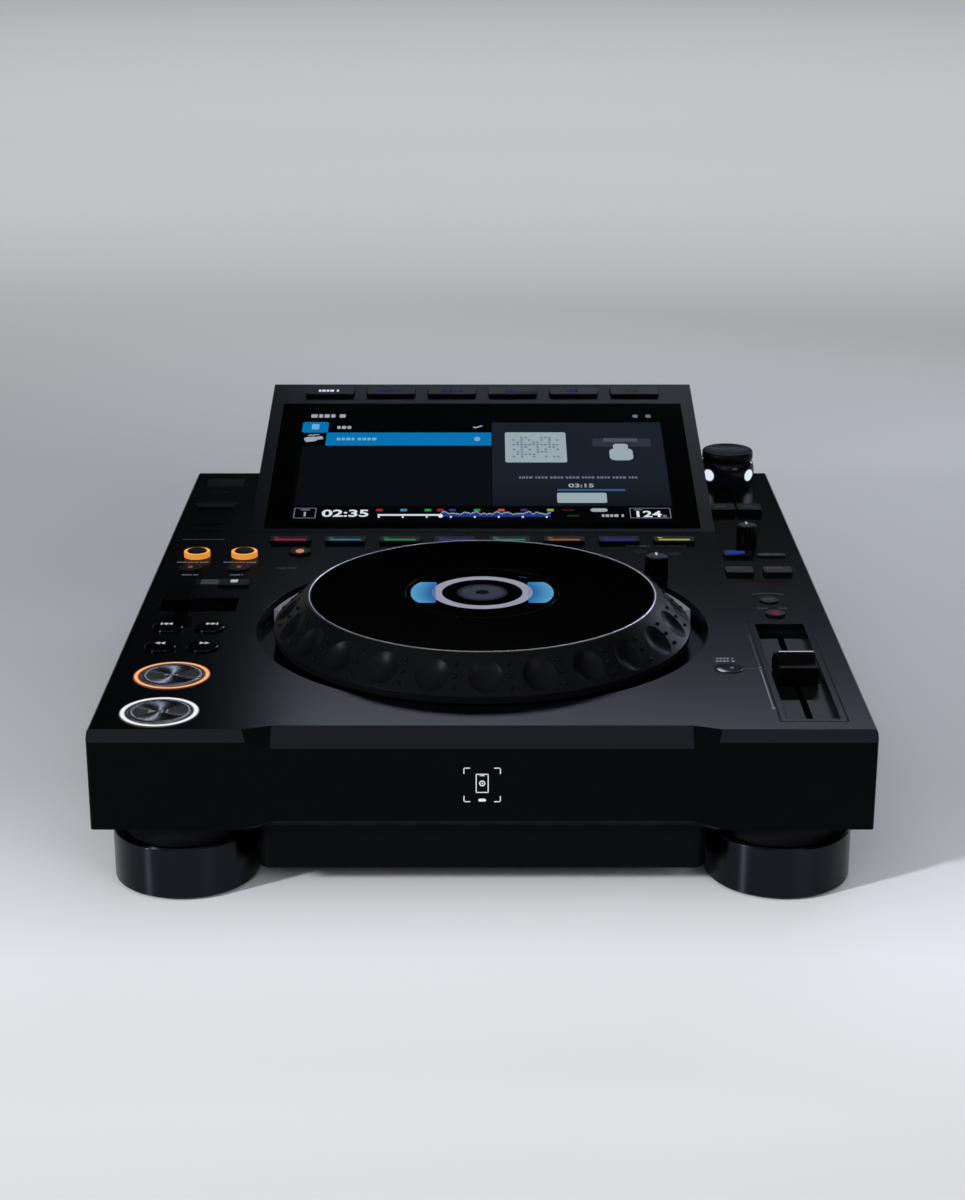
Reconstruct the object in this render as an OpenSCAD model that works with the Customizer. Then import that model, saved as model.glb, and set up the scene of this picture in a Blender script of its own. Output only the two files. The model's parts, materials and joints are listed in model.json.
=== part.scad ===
// Tabletop DJ media player: full-size deck with a jog wheel and a raised touch screen.
// Millimetres. X is to the right, Y to the back, Z up. The origin is on the ground,
// under the middle of the whole deck.

/* [Body] */
// Width of the body
body_w = 329; // [329:1:420]
// Depth of the body, without the screen's overhang
body_d = 399; // [399:1:500]
// Height of the body from its underside to its top plate
body_h = 43.5; // [40:0.5:60]
// Height of the body's underside over the ground
ground_gap = 34.9; // [32:0.1:45]
// Thickness of the side walls
side_wall = 2.6; // [2:0.1:3.4]
// Thickness of the top plate
top_t = 3; // [2.4:0.1:3.6]
// Thickness of the sheet that the pan and the back wall are pressed from
pan_t = 1.5; // [1.2:0.1:2.4]
// Radius of the body's upright corners
corner_r = 1.6; // [0.8:0.1:3]

/* [Front edge] */
// Half width of the deep middle part of the front edge
middle_half = 88; // [60:1:90]
// Width of each slanted step beside the middle part
step_w = 12; // [8:1:16]
// Depth and drop of the top chamfer in the middle part
middle_top = [9, 6.7];
// Depth and drop of the top chamfer at the sides
side_top = [4.8, 4];
// Depth and rise of the lower chamfer in the middle part
middle_low = [4.5, 4];
// Chamfer along the plate's side and back edges
edge_cut = 0.8; // [0.4:0.1:1.2]

/* [Plinth and feet] */
// Width of the plinth
plinth_w = 192; // [160:1:196]
// Height of the plinth's bottom over the ground
plinth_gap = 10.7; // [6:0.1:16]
// Depth from the front face to the plinth
plinth_in = 14; // [8:1:20]
// Outer radius of a foot's ring
foot_r = 31.4; // [24:0.1:32]
// Height of a foot's ring
foot_ring_h = 23.2; // [16:0.1:26]
// How far the neck over a ring stands back from the ring's outside
neck_in = 4.9; // [4.2:0.1:8]
// Distance from the body's side to a foot's ring
foot_in_x = 4.1; // [1:0.1:5]
// Distance from the body's front or back to a foot's ring
foot_in_y = 3.2; // [1:0.1:12]

/* [Screen] */
// Width of the screen housing
screen_w = 247.5; // [220:0.5:260]
// Depth that the screen housing covers, seen from above
screen_run = 171.5; // [150:0.5:190]
// Height of the screen's back edge over the top plate
screen_rise = 39.6; // [30:0.1:50]
// How far the screen reaches behind the body
overhang = 54; // [30:1:60]
// Thickness of the bezel, across its sloped face
bezel_t = 8; // [7:0.1:10]
// Width of the frame at each side of the glass
bezel_side = 7.25; // [5:0.05:12]
// Width of the frame in front of the glass, up the slope
glass_in = 4.2; // [3:0.1:8]
// Width of the band behind the glass that holds the menu keys, up the slope
key_band = 25.1; // [22:0.1:32]
// Thickness of the glass
glass_t = 2; // [1.5:0.1:2.5]

/* [Jog wheel] */
// Outer radius of the wheel's skirt
jog_r = 97.6; // [80:0.1:98]
// Width of the gap round the wheel
jog_gap = 8.2; // [4:0.1:9]
// Width of the wheel's sloped skirt, seen from above
skirt_run = 14; // [10:0.1:18]
// Height of the wheel's top over the body's top plate
jog_h = 15.7; // [12:0.1:20]
// Distance from the front face to the wheel's centre
jog_y = 136; // [136:1:150]
// Radius of the centre display
jog_display_r = 35.7; // [34:0.1:40]
// Radius of the wheel's bearing bore
jog_bore_r = 30; // [28:0.1:31]
// Number of finger dimples
dimple_count = 24; // [18:1:24]

/* [Keys] */
// Radius of the play and cue caps
play_r = 13.6; // [10:0.1:14.4]
// Width of the lit ring round the play and cue caps
play_ring_w = 3.1; // [2:0.1:4]
// Radius of a track or search button
track_r = 7.3; // [5:0.1:7.5]
// Radius of a loop button's cap
loop_r = 4.7; // [4:0.1:4.8]
// Width of the lit ring round a loop button's cap
loop_ring_w = 1.7; // [1.2:0.1:3]
// Width, depth and height of a hot cue pad
pad_size = [21, 9.2, 2];
// Distance between the centres of two pads
pad_pitch = 28.7; // [26:0.1:32]
// Width, depth and height of a menu key
menu_size = [28.4, 9, 1.6];
// Distance between the centres of two menu keys
menu_pitch = 36; // [32:0.1:40]
// Play between a cap and the hole that it moves in
key_play = 0.3; // [0.2:0.05:0.5]
// How far a key travels
key_travel = 1; // [0.6:0.1:1.2]

/* [Knobs, lever and slider] */
// Radius and height of the rotary selector
selector_size = [15.3, 19.1];
// Radius and height of the jog adjust knob
adjust_size = [5.3, 11.2];
// Radius and height of the vinyl speed knob
speed_size = [5.8, 11];
// Radial running clearance of a shaft in its hole
running = 0.05; // [0.02:0.01:0.08]
// Width, length and height of the direction lever's cap
lever_size = [12.4, 12.5, 6];
// Tilt of the direction lever towards the front at rest
lever_tilt = 22; // [12:1:22]
// Width and length of the direction lever's recess
lever_recess = [37, 21];
// Width and length of the tempo slider's recess
tempo_recess = [22.6, 119.5];
// Width, length and height of the tempo slider's cap
tempo_cap = [18.7, 21, 8.2];

/* [Hidden] */
$fn = 64;

// Overall sizes and main levels
overall_d = body_d + overhang;
plate_z = ground_gap + body_h;
front_y = -overall_d / 2;
back_y = front_y + body_d;
screen_y = back_y + overhang - screen_run;
tilt = atan(screen_rise / screen_run);
slope_l = screen_run / cos(tilt);
pan_top = ground_gap + pan_t;
inner_x = body_w / 2 - side_wall;
front_wall = 3;
front_slope = [6.5, 4.5];
// Gap between parts that slip together, and how far a cut runs past a face
fit_gap = 0.2;
past = 1;
// How far joined shapes run into each other
sink = 0.5;

// Places, measured from the body's own edges
function left(d) = -body_w / 2 + d;
function right(d) = body_w / 2 - d;
function ahead(d) = front_y + d;
function behind(d) = back_y - d;

// Wheel and its well; heights are counted from the top of the body's plate
jog_at = [0, ahead(jog_y)];
well_r = jog_r + jog_gap;
well_wall = 2.5;
well_depth = 8;
well_floor = 2;
well_ledge = 43.8;
rim_w = 2;
rim_cut = 1.6;
rim_drop = 1.2;
rim_rise = 0.2;
plate_gap = 0.3;
skirt_low = [jog_r, 1.2];
skirt_high = [jog_r - skirt_run, jog_h - rim_drop];
jog_top_r = skirt_high[0] - rim_cut - rim_w;
deck_t = 3;
jog_plate_t = 2;
deck_seat = jog_h - jog_plate_t;
hub_wall = 6;
hub_low = -23.9;
hub_play = 0.1;
skirt_t = 4.6;
skirt_drop = 2;
dimple_ball = 15;
dimple_cut = 2.3;
dimple_turn = 1;
post_wall = 4;
post_shoulder = 5;
post_foot = [10, 3];
post_head = 0.5;
display_gap = 0.5;
display_stub = 4;

// Key construction, as heights below and above the top plate
flange_t = 1.2;
flange_w = 1;
flange_drop = 0.3;
key_base = -top_t - flange_drop - flange_t;
stem_r = 1.6;
stem_gap = 0.3;
board_z = -7.6;
board_t = 1.6;
play_h = 1;
play_ring_r = play_r + key_play + play_ring_w;
loop_ring_r = loop_r + key_play + loop_ring_w;
ring_rise = [0.5, 2.7];
arc_in = 2;
arc_w = 3.6;
arc_drop = 1.5;
arc_start = 14;

play_at = [left(27.8), ahead(23.4)];
cue_at = [left(27.5), ahead(67)];
loop_in_at = [left(18), ahead(241)];
loop_out_at = [left(42.3), ahead(241)];

// Round keys: name, place, radius, height
ROUND_KEYS = [
    ["play_button", play_at, play_r, play_h],
    ["cue_button", cue_at, play_r, play_h],
    ["track_back_button", [left(17.5), ahead(130)], track_r, 1.2],
    ["track_forward_button", [left(37), ahead(130)], track_r, 1.2],
    ["search_back_button", [left(17.5), ahead(103.5)], track_r, 1.2],
    ["search_forward_button", [left(37), ahead(103.5)], track_r, 1.2],
    ["loop_in_button", loop_in_at, loop_r, 3.4],
    ["loop_out_button", loop_out_at, loop_r, 3.4],
    ["short_beat_button", [left(17), ahead(220.5)], 5.7, 0.8],
    ["long_beat_button", [left(41.5), ahead(220.5)], 5.7, 0.8],
    ["memory_button", [left(70.5), ahead(246)], 5.7, 1.4],
    ["tempo_range_button", [right(25.6), ahead(169.6)], 4.6, 0.8],
    ["master_tempo_button", [right(25), ahead(149)], 4.6, 1.2],
    ["tempo_reset_button", [right(54.6), ahead(76.2)], 6.2, 0.3]
];

// Bar keys: name, place, width and depth, height
BAR_KEYS = [
    ["slip_button", [left(41.7), ahead(195)], [15, 9], 1.2],
    ["port_stop_button", [left(17.8), behind(71.5)], [19.4, 4.6], 1.2],
    ["back_button", [right(33.3), behind(82)], [13, 12], 4],
    ["tag_button", [right(18.9), behind(82)], [13, 12], 4],
    ["jog_mode_button", [right(33.3), ahead(241)], [14, 9], 1.8],
    ["key_button", [right(16), ahead(240.3)], [14.4, 4.6], 1],
    ["sync_button", [right(35.5), ahead(212.2)], [13.8, 9.8], 2.2],
    ["master_button", [right(16.2), ahead(212.2)], [14, 9.8], 2.2]
];
bar_corner = 1.4;

PAD_COUNT = 8;
MENU_COUNT = 6;
pad_y = screen_y - 17;
menu_in = 11.5;
menu_s = slope_l - menu_in;
function pad_x(i) = (i - (PAD_COUNT - 1) / 2) * pad_pitch;
function menu_x(i) = (i - (MENU_COUNT - 1) / 2) * menu_pitch;

selector_at = [right(25), behind(21.3)];
adjust_at = [right(27.1), ahead(257)];
speed_at = [right(77.7), ahead(204.6)];
selector_shaft_r = 3;
adjust_shaft_r = 2.5;
speed_shaft_r = 2;
knob_lift = 0.8;
knob_foot = 0.4;
bush_wall = 2;
bush_drop = 12;
clip_t = 1.4;
clip_w = 1;

lever_at = [left(20.3), ahead(163.5)];
lever_recess_at = [left(28), ahead(163.5)];
lever_pivot = -14;
lever_pin_r = 1.5;
lever_foot = [7, 6.4];
lever_foot_low = 2.6;
lever_cap_low = 20.2;
lever_corner = 1.2;
pocket_floor = -4;
pocket_t = 2;
pocket_rim = 5;
ear_t = 2.5;
ear_w = 8;
ear_low = 3;
lever_ear_gap = 0.5;

tempo_at = [right(25), ahead(76.25)];
track_lip = 2.4;
tempo_ridge = [15.8, 2];
tempo_end = 4.2;
tempo_lift = 0.9;
track_floor = -4.5;
track_floor_t = 1.5;
track_slot = 3;
track_box = [11, 8];
track_wall = 1.5;
track_end = 2;
recess_corner = 0.8;
slider_stem = [2, 6];

port_at = [left(17.8), behind(19.5)];
port_cover = [20, 17, 1.6];
port_well = 3.2;
port_play = 0.3;
port_pin_r = 0.8;
port_pin_l = 1.6;
port_hinge_r = 1.3;
port_slot = [13.4, 5.8];
port_deep = 13;
port_wall = 0.6;
port_tongue = [10.4, 1.6, 10];
port_tongue_back = -0.9;
port_flange = 2;

// Case screws and their bosses
boss_r = 3.4;
screw_r = 1.5;
screw_l = 12;
screw_bite = 0.02;
screw_head = [2.75, 1.6];
screw_play = 0.2;
BOSSES = [for (x = [left(6.5), right(6.5)], y = [ahead(14), ahead(88), ahead(190), behind(47)]) [x, y]];

// Key boards: low corner, high corner
BOARDS = [
    [[left(10.5), ahead(6)], [left(47), ahead(84)]],
    [[left(9.5), ahead(93)], [left(46), ahead(143)]],
    [[left(10.5), ahead(184)], [left(52.5), ahead(252)]],
    [[left(60), ahead(236)], [left(81), ahead(256)]],
    [[-4.1 * pad_pitch, pad_y - 7], [4.1 * pad_pitch, pad_y + 7]],
    [[left(6), behind(79.5)], [left(30), behind(62.5)]],
    [[right(46), behind(96)], [right(8), behind(68)]],
    [[right(46), ahead(201)], [right(6.5), ahead(249)]],
    [[right(33), ahead(141)], [right(17), ahead(178)]],
    [[right(64.5), ahead(66)], [right(45), ahead(87.5)]]
];
board_post_r = 1.4;
board_post_in = 1.8;
main_board = [[-150, behind(138)], [150, behind(20)]];
main_board_z = -25;
main_board_in = 5;
standoff_r = 3;
supply_size = [110, 120, 30];
supply_at = [-30, behind(95)];
supply_t = 1.5;
bridge = 100;
plinth_corner = 6;

// Feet
foot_wall = 2.9;
foot_edge = 0.8;
foot_low_edge = 0.4;
pad_lift = 1;
pad_in = 1;
core_drop = 1.2;

// Screen: glass, display and the band of menu keys
glass_w = screen_w - 2 * bezel_side;
glass_l = slope_l - glass_in - key_band;
glass_play = 0.1;
glass_drop = 0.05;
window_in = 4.5;
window_low = 26;
window_play = 0.5;
band_rib = 3;
menu_skin = 2.5;
menu_stem = 1.1;
menu_board_z = -6.4;
menu_board_t = 1.2;
menu_board_half = 7;
menu_post_r = 1.2;
MENU_POSTS = [-2 * menu_pitch, 0, 2 * menu_pitch];
cover_foot = 14;
cover_low = 0.8;

// Back wall cut-outs: name, place across, width and height
socket_z = ground_gap + body_h / 2;
inlet = [left(40), 27.4, 20];
inlet_hole = [22, 14.6];
network = [20, 16, 13.6];
network_hole = [11.8, 8];
data_port = [52, 12, 11];
data_hole = [8.4, 7.6];
JACKS = [86, 104, 122];
jack_r = 4.2;
jack_bore = 1.7;
jack_l = 9;
jack_collar = [1.5, 5];
switch_at = [left(76), 13.4, 20];
rocker = [11.6, 16.4];
rocker_in = 6;
rocker_play = 0.15;
rocker_pin_r = 1;
rocker_tilt = 6;
rocker_end = 1;
rocker_nose = [1.4, 0.4];
rocker_back = 3.4;
housing_depth = 13;
lock_slot = [150, 7, 3];
lock_drop = 8;
socket_depth = 16;
socket_back = 2;
socket_proud = 0.4;
socket_flange = [1, 1.2];
inlet_pin = [2, 8.5, 4];
INLET_PINS = [[-7, -1], [0, 2], [7, -1]];
VENTS = [for (i = [0 : 7]) -62 + 7 * i];
vent = [2.4, 18];

// ---- outlines and placing ----

// A rectangle with true round corners, centred
module rounded_rect(size, r) {
    square([size[0] - 2 * r, size[1]], center = true);
    square([size[0], size[1] - 2 * r], center = true);
    for (x = [-1, 1], y = [-1, 1])
        translate([x * (size[0] / 2 - r), y * (size[1] / 2 - r)]) circle(r);
}

// Puts its children at a place on the top plate, z counted from the plate's top
module on_plate(at, z = 0) {
    translate([at[0], at[1], plate_z + z]) children();
}

// Puts its children in the screen's frame: Y up the slope, Z out of the face
module on_screen() {
    translate([0, screen_y, plate_z]) rotate([tilt, 0, 0]) children();
}

// Extrudes an outline drawn as [y, z] along X, centred
module along_x(width) {
    translate([-width / 2, 0, 0]) rotate([90, 0, 90]) linear_extrude(width) children();
}

// Cuts the front edge back between two slanted steps
module edge_tool(cut) {
    slope = atan(cut[1] / cut[0]);
    reach = 6;
    length = 40;
    rise = step_w / ((middle_top[0] - side_top[0]) * sin(slope));
    rotate([slope, 0, 0]) translate([0, length / 2, 0]) rotate([90, 0, 0]) linear_extrude(length)
        polygon([[-middle_half - rise * reach, reach], [-middle_half, 0],
                 [middle_half, 0], [middle_half + rise * reach, reach]]);
}

module top_edge_tool() {
    translate([0, front_y + middle_top[0], plate_z]) edge_tool(middle_top);
}

module low_edge_tool() {
    translate([0, front_y + middle_low[0], ground_gap]) mirror([0, 0, 1]) edge_tool(middle_low);
}

// ---- body ----

module case_block() {
    difference() {
        translate([0, front_y + body_d / 2, ground_gap])
            linear_extrude(body_h) rounded_rect([body_w, body_d], corner_r);
        along_x(body_w + 2 * past) polygon([
            [front_y - past, plate_z - side_top[1] - past * side_top[1] / side_top[0]],
            [front_y + side_top[0] + past, plate_z + past * side_top[1] / side_top[0]],
            [front_y - past, plate_z + past]]);
        along_x(body_w + 2 * past) polygon([
            [back_y - edge_cut - past, plate_z + past],
            [back_y + past, plate_z - edge_cut - past], [back_y + past, plate_z + past]]);
        for (side = [-1, 1])
            translate([side * body_w / 2, front_y - past, plate_z])
                rotate([-90, 0, 0]) linear_extrude(body_d + 2 * past)
                    polygon([[-side * (edge_cut + past), -past],
                             [side * past, edge_cut + past], [side * past, -past]]);
        top_edge_tool();
        low_edge_tool();
    }
}

// The hollow inside, with its front upper corner following the chamfer
module case_hollow() {
    front = front_y + front_wall;
    top = plate_z - top_t;
    along_x(2 * inner_x) polygon([
        [front, ground_gap - past], [front, top - front_slope[1]], [front + front_slope[0], top],
        [back_y + past, top], [back_y + past, ground_gap - past]]);
}

module jog_well() {
    hole_r = well_r - well_ledge;
    on_plate(jog_at) rotate_extrude($fn = 128) polygon([
        [hole_r, -well_depth - well_floor], [well_r + well_wall, -well_depth - well_floor],
        [well_r + well_wall, sink - top_t], [well_r, sink - top_t],
        [well_r, -well_depth], [hole_r, -well_depth]]);
}

// A thick patch under the plate, for a recess that is deeper than the plate
module pocket_block(at, size, floor_z) {
    on_plate(at, floor_z - pocket_t) linear_extrude(pocket_t + sink - floor_z - top_t)
        square(size + [pocket_rim, pocket_rim], center = true);
}

module pocket(at, size, floor_z, corner) {
    on_plate(at, floor_z) linear_extrude(past - floor_z) rounded_rect(size, corner);
}

module lever_ears() {
    for (side = [-1, 1])
        on_plate(lever_at, lever_pivot - ear_low)
            translate([side * (lever_foot[0] / 2 + lever_ear_gap + ear_t / 2) - ear_t / 2,
                       -ear_w / 2, 0])
                cube([ear_t, ear_w, ear_low - lever_pivot + pocket_floor - sink]);
}

module round_hole(at, r) {
    on_plate(at, -top_t - past) cylinder(r = r, h = top_t + 2 * past);
}

module bar_hole(at, size) {
    on_plate(at, -top_t - past) linear_extrude(top_t + 2 * past)
        rounded_rect(size + 2 * [key_play, key_play], bar_corner + key_play);
}

// A long guide under the plate for a knob's shaft
module bush(at, shaft_r) {
    on_plate(at, -bush_drop) cylinder(r = shaft_r + bush_wall, h = bush_drop - top_t + sink);
}

module bush_hole(at, shaft_r) {
    on_plate(at, -bush_drop - past) cylinder(r = shaft_r + running, h = bush_drop + 2 * past);
}

// The holes for the caps, with their walls a clearance away from them
module key_holes() {
    for (k = ROUND_KEYS) round_hole(k[1], k[2] + key_play);
    for (at = [play_at, cue_at]) round_hole(at, play_ring_r + running);
    for (at = [loop_in_at, loop_out_at]) round_hole(at, loop_ring_r + running);
    for (k = BAR_KEYS) bar_hole(k[1], k[2]);
    for (i = [0 : PAD_COUNT - 1]) bar_hole([pad_x(i), pad_y], [pad_size[0], pad_size[1]]);
}

module board_posts() {
    for (b = BOARDS, end = [0, 1])
        on_plate([b[end][0] + (1 - 2 * end) * board_post_in,
                  b[1 - end][1] - (1 - 2 * end) * board_post_in], board_z)
            cylinder(r = board_post_r, h = sink - board_z - top_t, $fn = 24);
}

module case_bosses() {
    for (b = BOSSES)
        translate([b[0], b[1], pan_top]) cylinder(r = boss_r, h = body_h - pan_t - top_t + sink);
}

module upper_case() {
    color([0.2, 0.21, 0.24]) difference() {
        union() {
            difference() {
                case_block();
                case_hollow();
            }
            jog_well();
            pocket_block(lever_recess_at, lever_recess, pocket_floor);
            pocket_block(port_at, [port_cover[0], port_cover[1]], -port_well);
            lever_ears();
            case_bosses();
            board_posts();
            bush(selector_at, selector_shaft_r);
            bush(adjust_at, adjust_shaft_r);
            bush(speed_at, speed_shaft_r);
        }
        on_plate(jog_at, -well_depth) cylinder(r = well_r, h = well_depth + past, $fn = 128);
        key_holes();
        bush_hole(selector_at, selector_shaft_r);
        bush_hole(adjust_at, adjust_shaft_r);
        bush_hole(speed_at, speed_shaft_r);
        pocket(lever_recess_at, lever_recess, pocket_floor, recess_corner);
        on_plate(lever_at, pocket_floor - pocket_t - past) linear_extrude(pocket_t + 2 * past)
            square([lever_foot[0] + 2 * lever_ear_gap, lever_recess[1] - 2], center = true);
        on_plate(lever_at, lever_pivot) rotate([0, 90, 0])
            cylinder(r = lever_pin_r + running, h = lever_foot[0] + 2 * (ear_t + 2 * lever_ear_gap),
                     center = true);
        on_plate(tempo_at, -top_t - past) linear_extrude(top_t + 2 * past)
            rounded_rect(tempo_recess, recess_corner);
        // groove for the glass's lower edge
        on_screen() translate([-glass_w / 2 - glass_play, glass_in - glass_play,
                               -glass_t - glass_play])
            cube([glass_w + 2 * glass_play, glass_t / sin(tilt) + 2, glass_t + past]);
        pocket(port_at, [port_cover[0] + 2 * port_play, port_cover[1] + 2 * port_play],
               -port_well, recess_corner);
        on_plate(port_at, -port_well - pocket_t - past) linear_extrude(pocket_t + 2 * past)
            square(port_slot, center = true);
        on_plate(port_at + [0, port_cover[1] / 2 - port_hinge_r], -port_hinge_r)
            rotate([0, 90, 0])
                cylinder(r = port_pin_r + running, h = port_cover[0] + 2 * port_pin_l + 2 * port_play,
                         center = true);
        for (b = BOSSES)
            translate([b[0], b[1], pan_top - past])
                cylinder(r = screw_r + screw_bite, h = screw_l + 2 * past);
    }
}

module back_wall_holes() {
    for (s = [inlet, network, data_port, switch_at])
        translate([s[0], back_y, socket_z])
            cube([s[1] + fit_gap, 3 * pan_t, s[2] + fit_gap], center = true);
    for (x = JACKS)
        translate([x, back_y, socket_z]) rotate([90, 0, 0])
            cylinder(r = jack_r + running, h = 3 * pan_t, center = true);
    translate([lock_slot[0], back_y, socket_z - lock_drop])
        cube([lock_slot[1], 3 * pan_t, lock_slot[2]], center = true);
    for (x = VENTS)
        translate([x, back_y, socket_z]) cube([vent[0], 3 * pan_t, vent[1]], center = true);
}

module plinth(grow, low) {
    depth = body_d - 2 * plinth_in;
    translate([0, front_y + plinth_in + depth / 2, plinth_gap + low])
        linear_extrude(ground_gap - plinth_gap - low + past)
            rounded_rect([plinth_w + 2 * grow, depth + 2 * grow], plinth_corner + grow);
}

module lower_case() {
    front = front_y + front_wall + fit_gap;
    color([0.09, 0.095, 0.11]) difference() {
        union() {
            difference() {
                translate([fit_gap - inner_x, front, ground_gap])
                    cube([2 * (inner_x - fit_gap), back_y - front, pan_t]);
                low_edge_tool();
            }
            translate([-inner_x + fit_gap, back_y - pan_t, ground_gap])
                cube([2 * (inner_x - fit_gap), pan_t, body_h - top_t - fit_gap]);
            plinth(0, 0);
            for (x = [main_board[0][0] + main_board_in, main_board[1][0] - main_board_in],
                 y = [main_board[0][1] + main_board_in, main_board[1][1] - main_board_in])
                translate([x, y, pan_top - sink])
                    cylinder(r = standoff_r, h = plate_z + main_board_z - pan_top + sink);
        }
        difference() {
            union() {
                plinth(-pan_t, pan_t);
                translate([0, 0, pan_t]) plinth(-pan_t, pan_t);
            }
            translate([-plinth_w / 2, jog_at[1] - bridge / 2, ground_gap])
                cube([plinth_w, bridge, 2 * pan_t]);
        }
        back_wall_holes();
        for (b = BOSSES)
            translate([b[0], b[1], ground_gap - past])
                cylinder(r = screw_r + screw_play, h = pan_t + 2 * past);
    }
}

// Where the four feet stand
module at_feet() {
    for (x = [-1, 1], y = [front_y + foot_in_y + foot_r, back_y - foot_in_y - foot_r])
        translate([x * (body_w / 2 - foot_in_x - foot_r), y, 0]) children();
}

module foot_rings() {
    color([0.16, 0.17, 0.19]) at_feet() rotate_extrude($fn = 96) polygon([
        [foot_r - foot_wall, pad_lift], [foot_r - foot_low_edge, pad_lift],
        [foot_r, pad_lift + foot_low_edge], [foot_r, pad_lift + foot_ring_h - foot_edge],
        [foot_r - foot_edge, pad_lift + foot_ring_h],
        [foot_r - foot_wall, pad_lift + foot_ring_h]]);
}

module foot_cores() {
    neck_r = foot_r - neck_in;
    color([0.05, 0.05, 0.055]) at_feet() rotate_extrude($fn = 96) polygon([
        [0, 0], [foot_r - foot_wall - pad_in, 0], [foot_r - foot_wall, pad_lift],
        [foot_r - foot_wall, pad_lift + foot_ring_h - core_drop],
        [neck_r, pad_lift + foot_ring_h - core_drop], [neck_r, ground_gap], [0, ground_gap]]);
}

module screws() {
    color([0.1, 0.1, 0.1]) for (b = BOSSES)
        translate([b[0], b[1], ground_gap]) {
            translate([0, 0, -screw_head[1]]) cylinder(r = screw_head[0], h = screw_head[1]);
            cylinder(r = screw_r, h = screw_l);
        }
}

// ---- sockets and power switch in the back wall ----

// A flange against the inside of the back wall
module wall_flange(at, size) {
    translate([at - size[0] / 2 - socket_flange[0], back_y - pan_t - socket_flange[1],
               socket_z - size[1] / 2 - socket_flange[0]])
        cube([size[0] + 2 * socket_flange[0], socket_flange[1], size[1] + 2 * socket_flange[0]]);
}

// A block in the back wall with a hollow open to the back
module socket_block(at, size, hollow) {
    difference() {
        union() {
            translate([at - size[0] / 2, back_y - socket_depth, socket_z - size[1] / 2])
                cube([size[0], socket_depth + socket_proud, size[1]]);
            wall_flange(at, size);
        }
        translate([at - hollow[0] / 2, back_y - socket_depth + socket_back,
                   socket_z - hollow[1] / 2])
            cube([hollow[0], socket_depth, hollow[1]]);
    }
}

module mains_inlet() {
    socket_block(inlet[0], [inlet[1], inlet[2]], inlet_hole);
    for (p = INLET_PINS)
        translate([inlet[0] + p[0] - inlet_pin[0] / 2, back_y - socket_depth + socket_back - sink,
                   socket_z + p[1] - inlet_pin[2] / 2])
            cube(inlet_pin);
}

module audio_jack(x) {
    translate([x, back_y, socket_z]) rotate([-90, 0, 0]) difference() {
        union() {
            translate([0, 0, -pan_t - jack_collar[1]])
                cylinder(r = jack_r, h = jack_l + pan_t + jack_collar[1]);
            translate([0, 0, -pan_t - jack_collar[1]])
                cylinder(r = jack_r + jack_collar[0], h = jack_collar[1]);
        }
        cylinder(r = jack_bore, h = jack_l + past);
    }
}

module switch_housing() {
    difference() {
        union() {
            translate([switch_at[0] - switch_at[1] / 2, back_y - housing_depth,
                       socket_z - switch_at[2] / 2])
                cube([switch_at[1], housing_depth, switch_at[2]]);
            wall_flange(switch_at[0], [switch_at[1], switch_at[2]]);
        }
        translate([switch_at[0] - rocker[0] / 2 - rocker_play, back_y - housing_depth + 1,
                   socket_z - switch_at[2] / 2 + 0.5])
            cube([rocker[0] + 2 * rocker_play, housing_depth, switch_at[2] - 1]);
        translate([switch_at[0], back_y - rocker_in, socket_z]) rotate([0, 90, 0])
            cylinder(r = rocker_pin_r + running, h = 2 * switch_at[1], center = true);
    }
}

// The stick port faces up, under its cover
module stick_port() {
    shell = port_slot - 2 * [fit_gap, fit_gap];
    on_plate(port_at, -port_well - port_deep) difference() {
        union() {
            linear_extrude(port_deep - sink) square(shell, center = true);
            translate([0, 0, port_deep - pocket_t - socket_flange[1]])
                linear_extrude(socket_flange[1])
                    square(port_slot + 2 * [port_flange, port_flange], center = true);
        }
        translate([0, 0, 1]) linear_extrude(port_deep)
            square(shell - 2 * [port_wall, port_wall], center = true);
    }
    on_plate(port_at + [0, port_tongue_back], sink - port_well - port_deep)
        linear_extrude(port_tongue[2]) square([port_tongue[0], port_tongue[1]], center = true);
}

module sockets() {
    color([0.06, 0.06, 0.065]) {
        mains_inlet();
        socket_block(network[0], [network[1], network[2]], network_hole);
        socket_block(data_port[0], [data_port[1], data_port[2]], data_hole);
        for (x = JACKS) audio_jack(x);
        switch_housing();
        stick_port();
    }
}

module power_switch() {
    color([0.04, 0.04, 0.04]) translate([switch_at[0], back_y - rocker_in, socket_z])
        rotate([-rocker_tilt, 0, 0]) {
        along_x(rocker[0]) polygon([
            [-rocker_back, 0], [0, rocker_end - rocker[1] / 2],
            [rocker_in + rocker_nose[0], -rocker[1] / 2], [rocker_in + rocker_nose[1], 0],
            [rocker_in + rocker_nose[0], rocker[1] / 2], [0, rocker[1] / 2 - rocker_end]]);
        rotate([0, 90, 0]) cylinder(r = rocker_pin_r, h = switch_at[1] - fit_gap, center = true);
    }
}

// ---- screen ----

// Outline of the whole screen wedge over the plate, as [y, z]
module wedge_outline(drop) {
    y0 = screen_y + drop / sin(tilt);
    y1 = back_y + overhang;
    polygon([[y0, plate_z], [back_y, plate_z], [y1, plate_z + screen_rise / 2],
             [y1, plate_z + screen_rise - drop / cos(tilt)]]);
}

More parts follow.
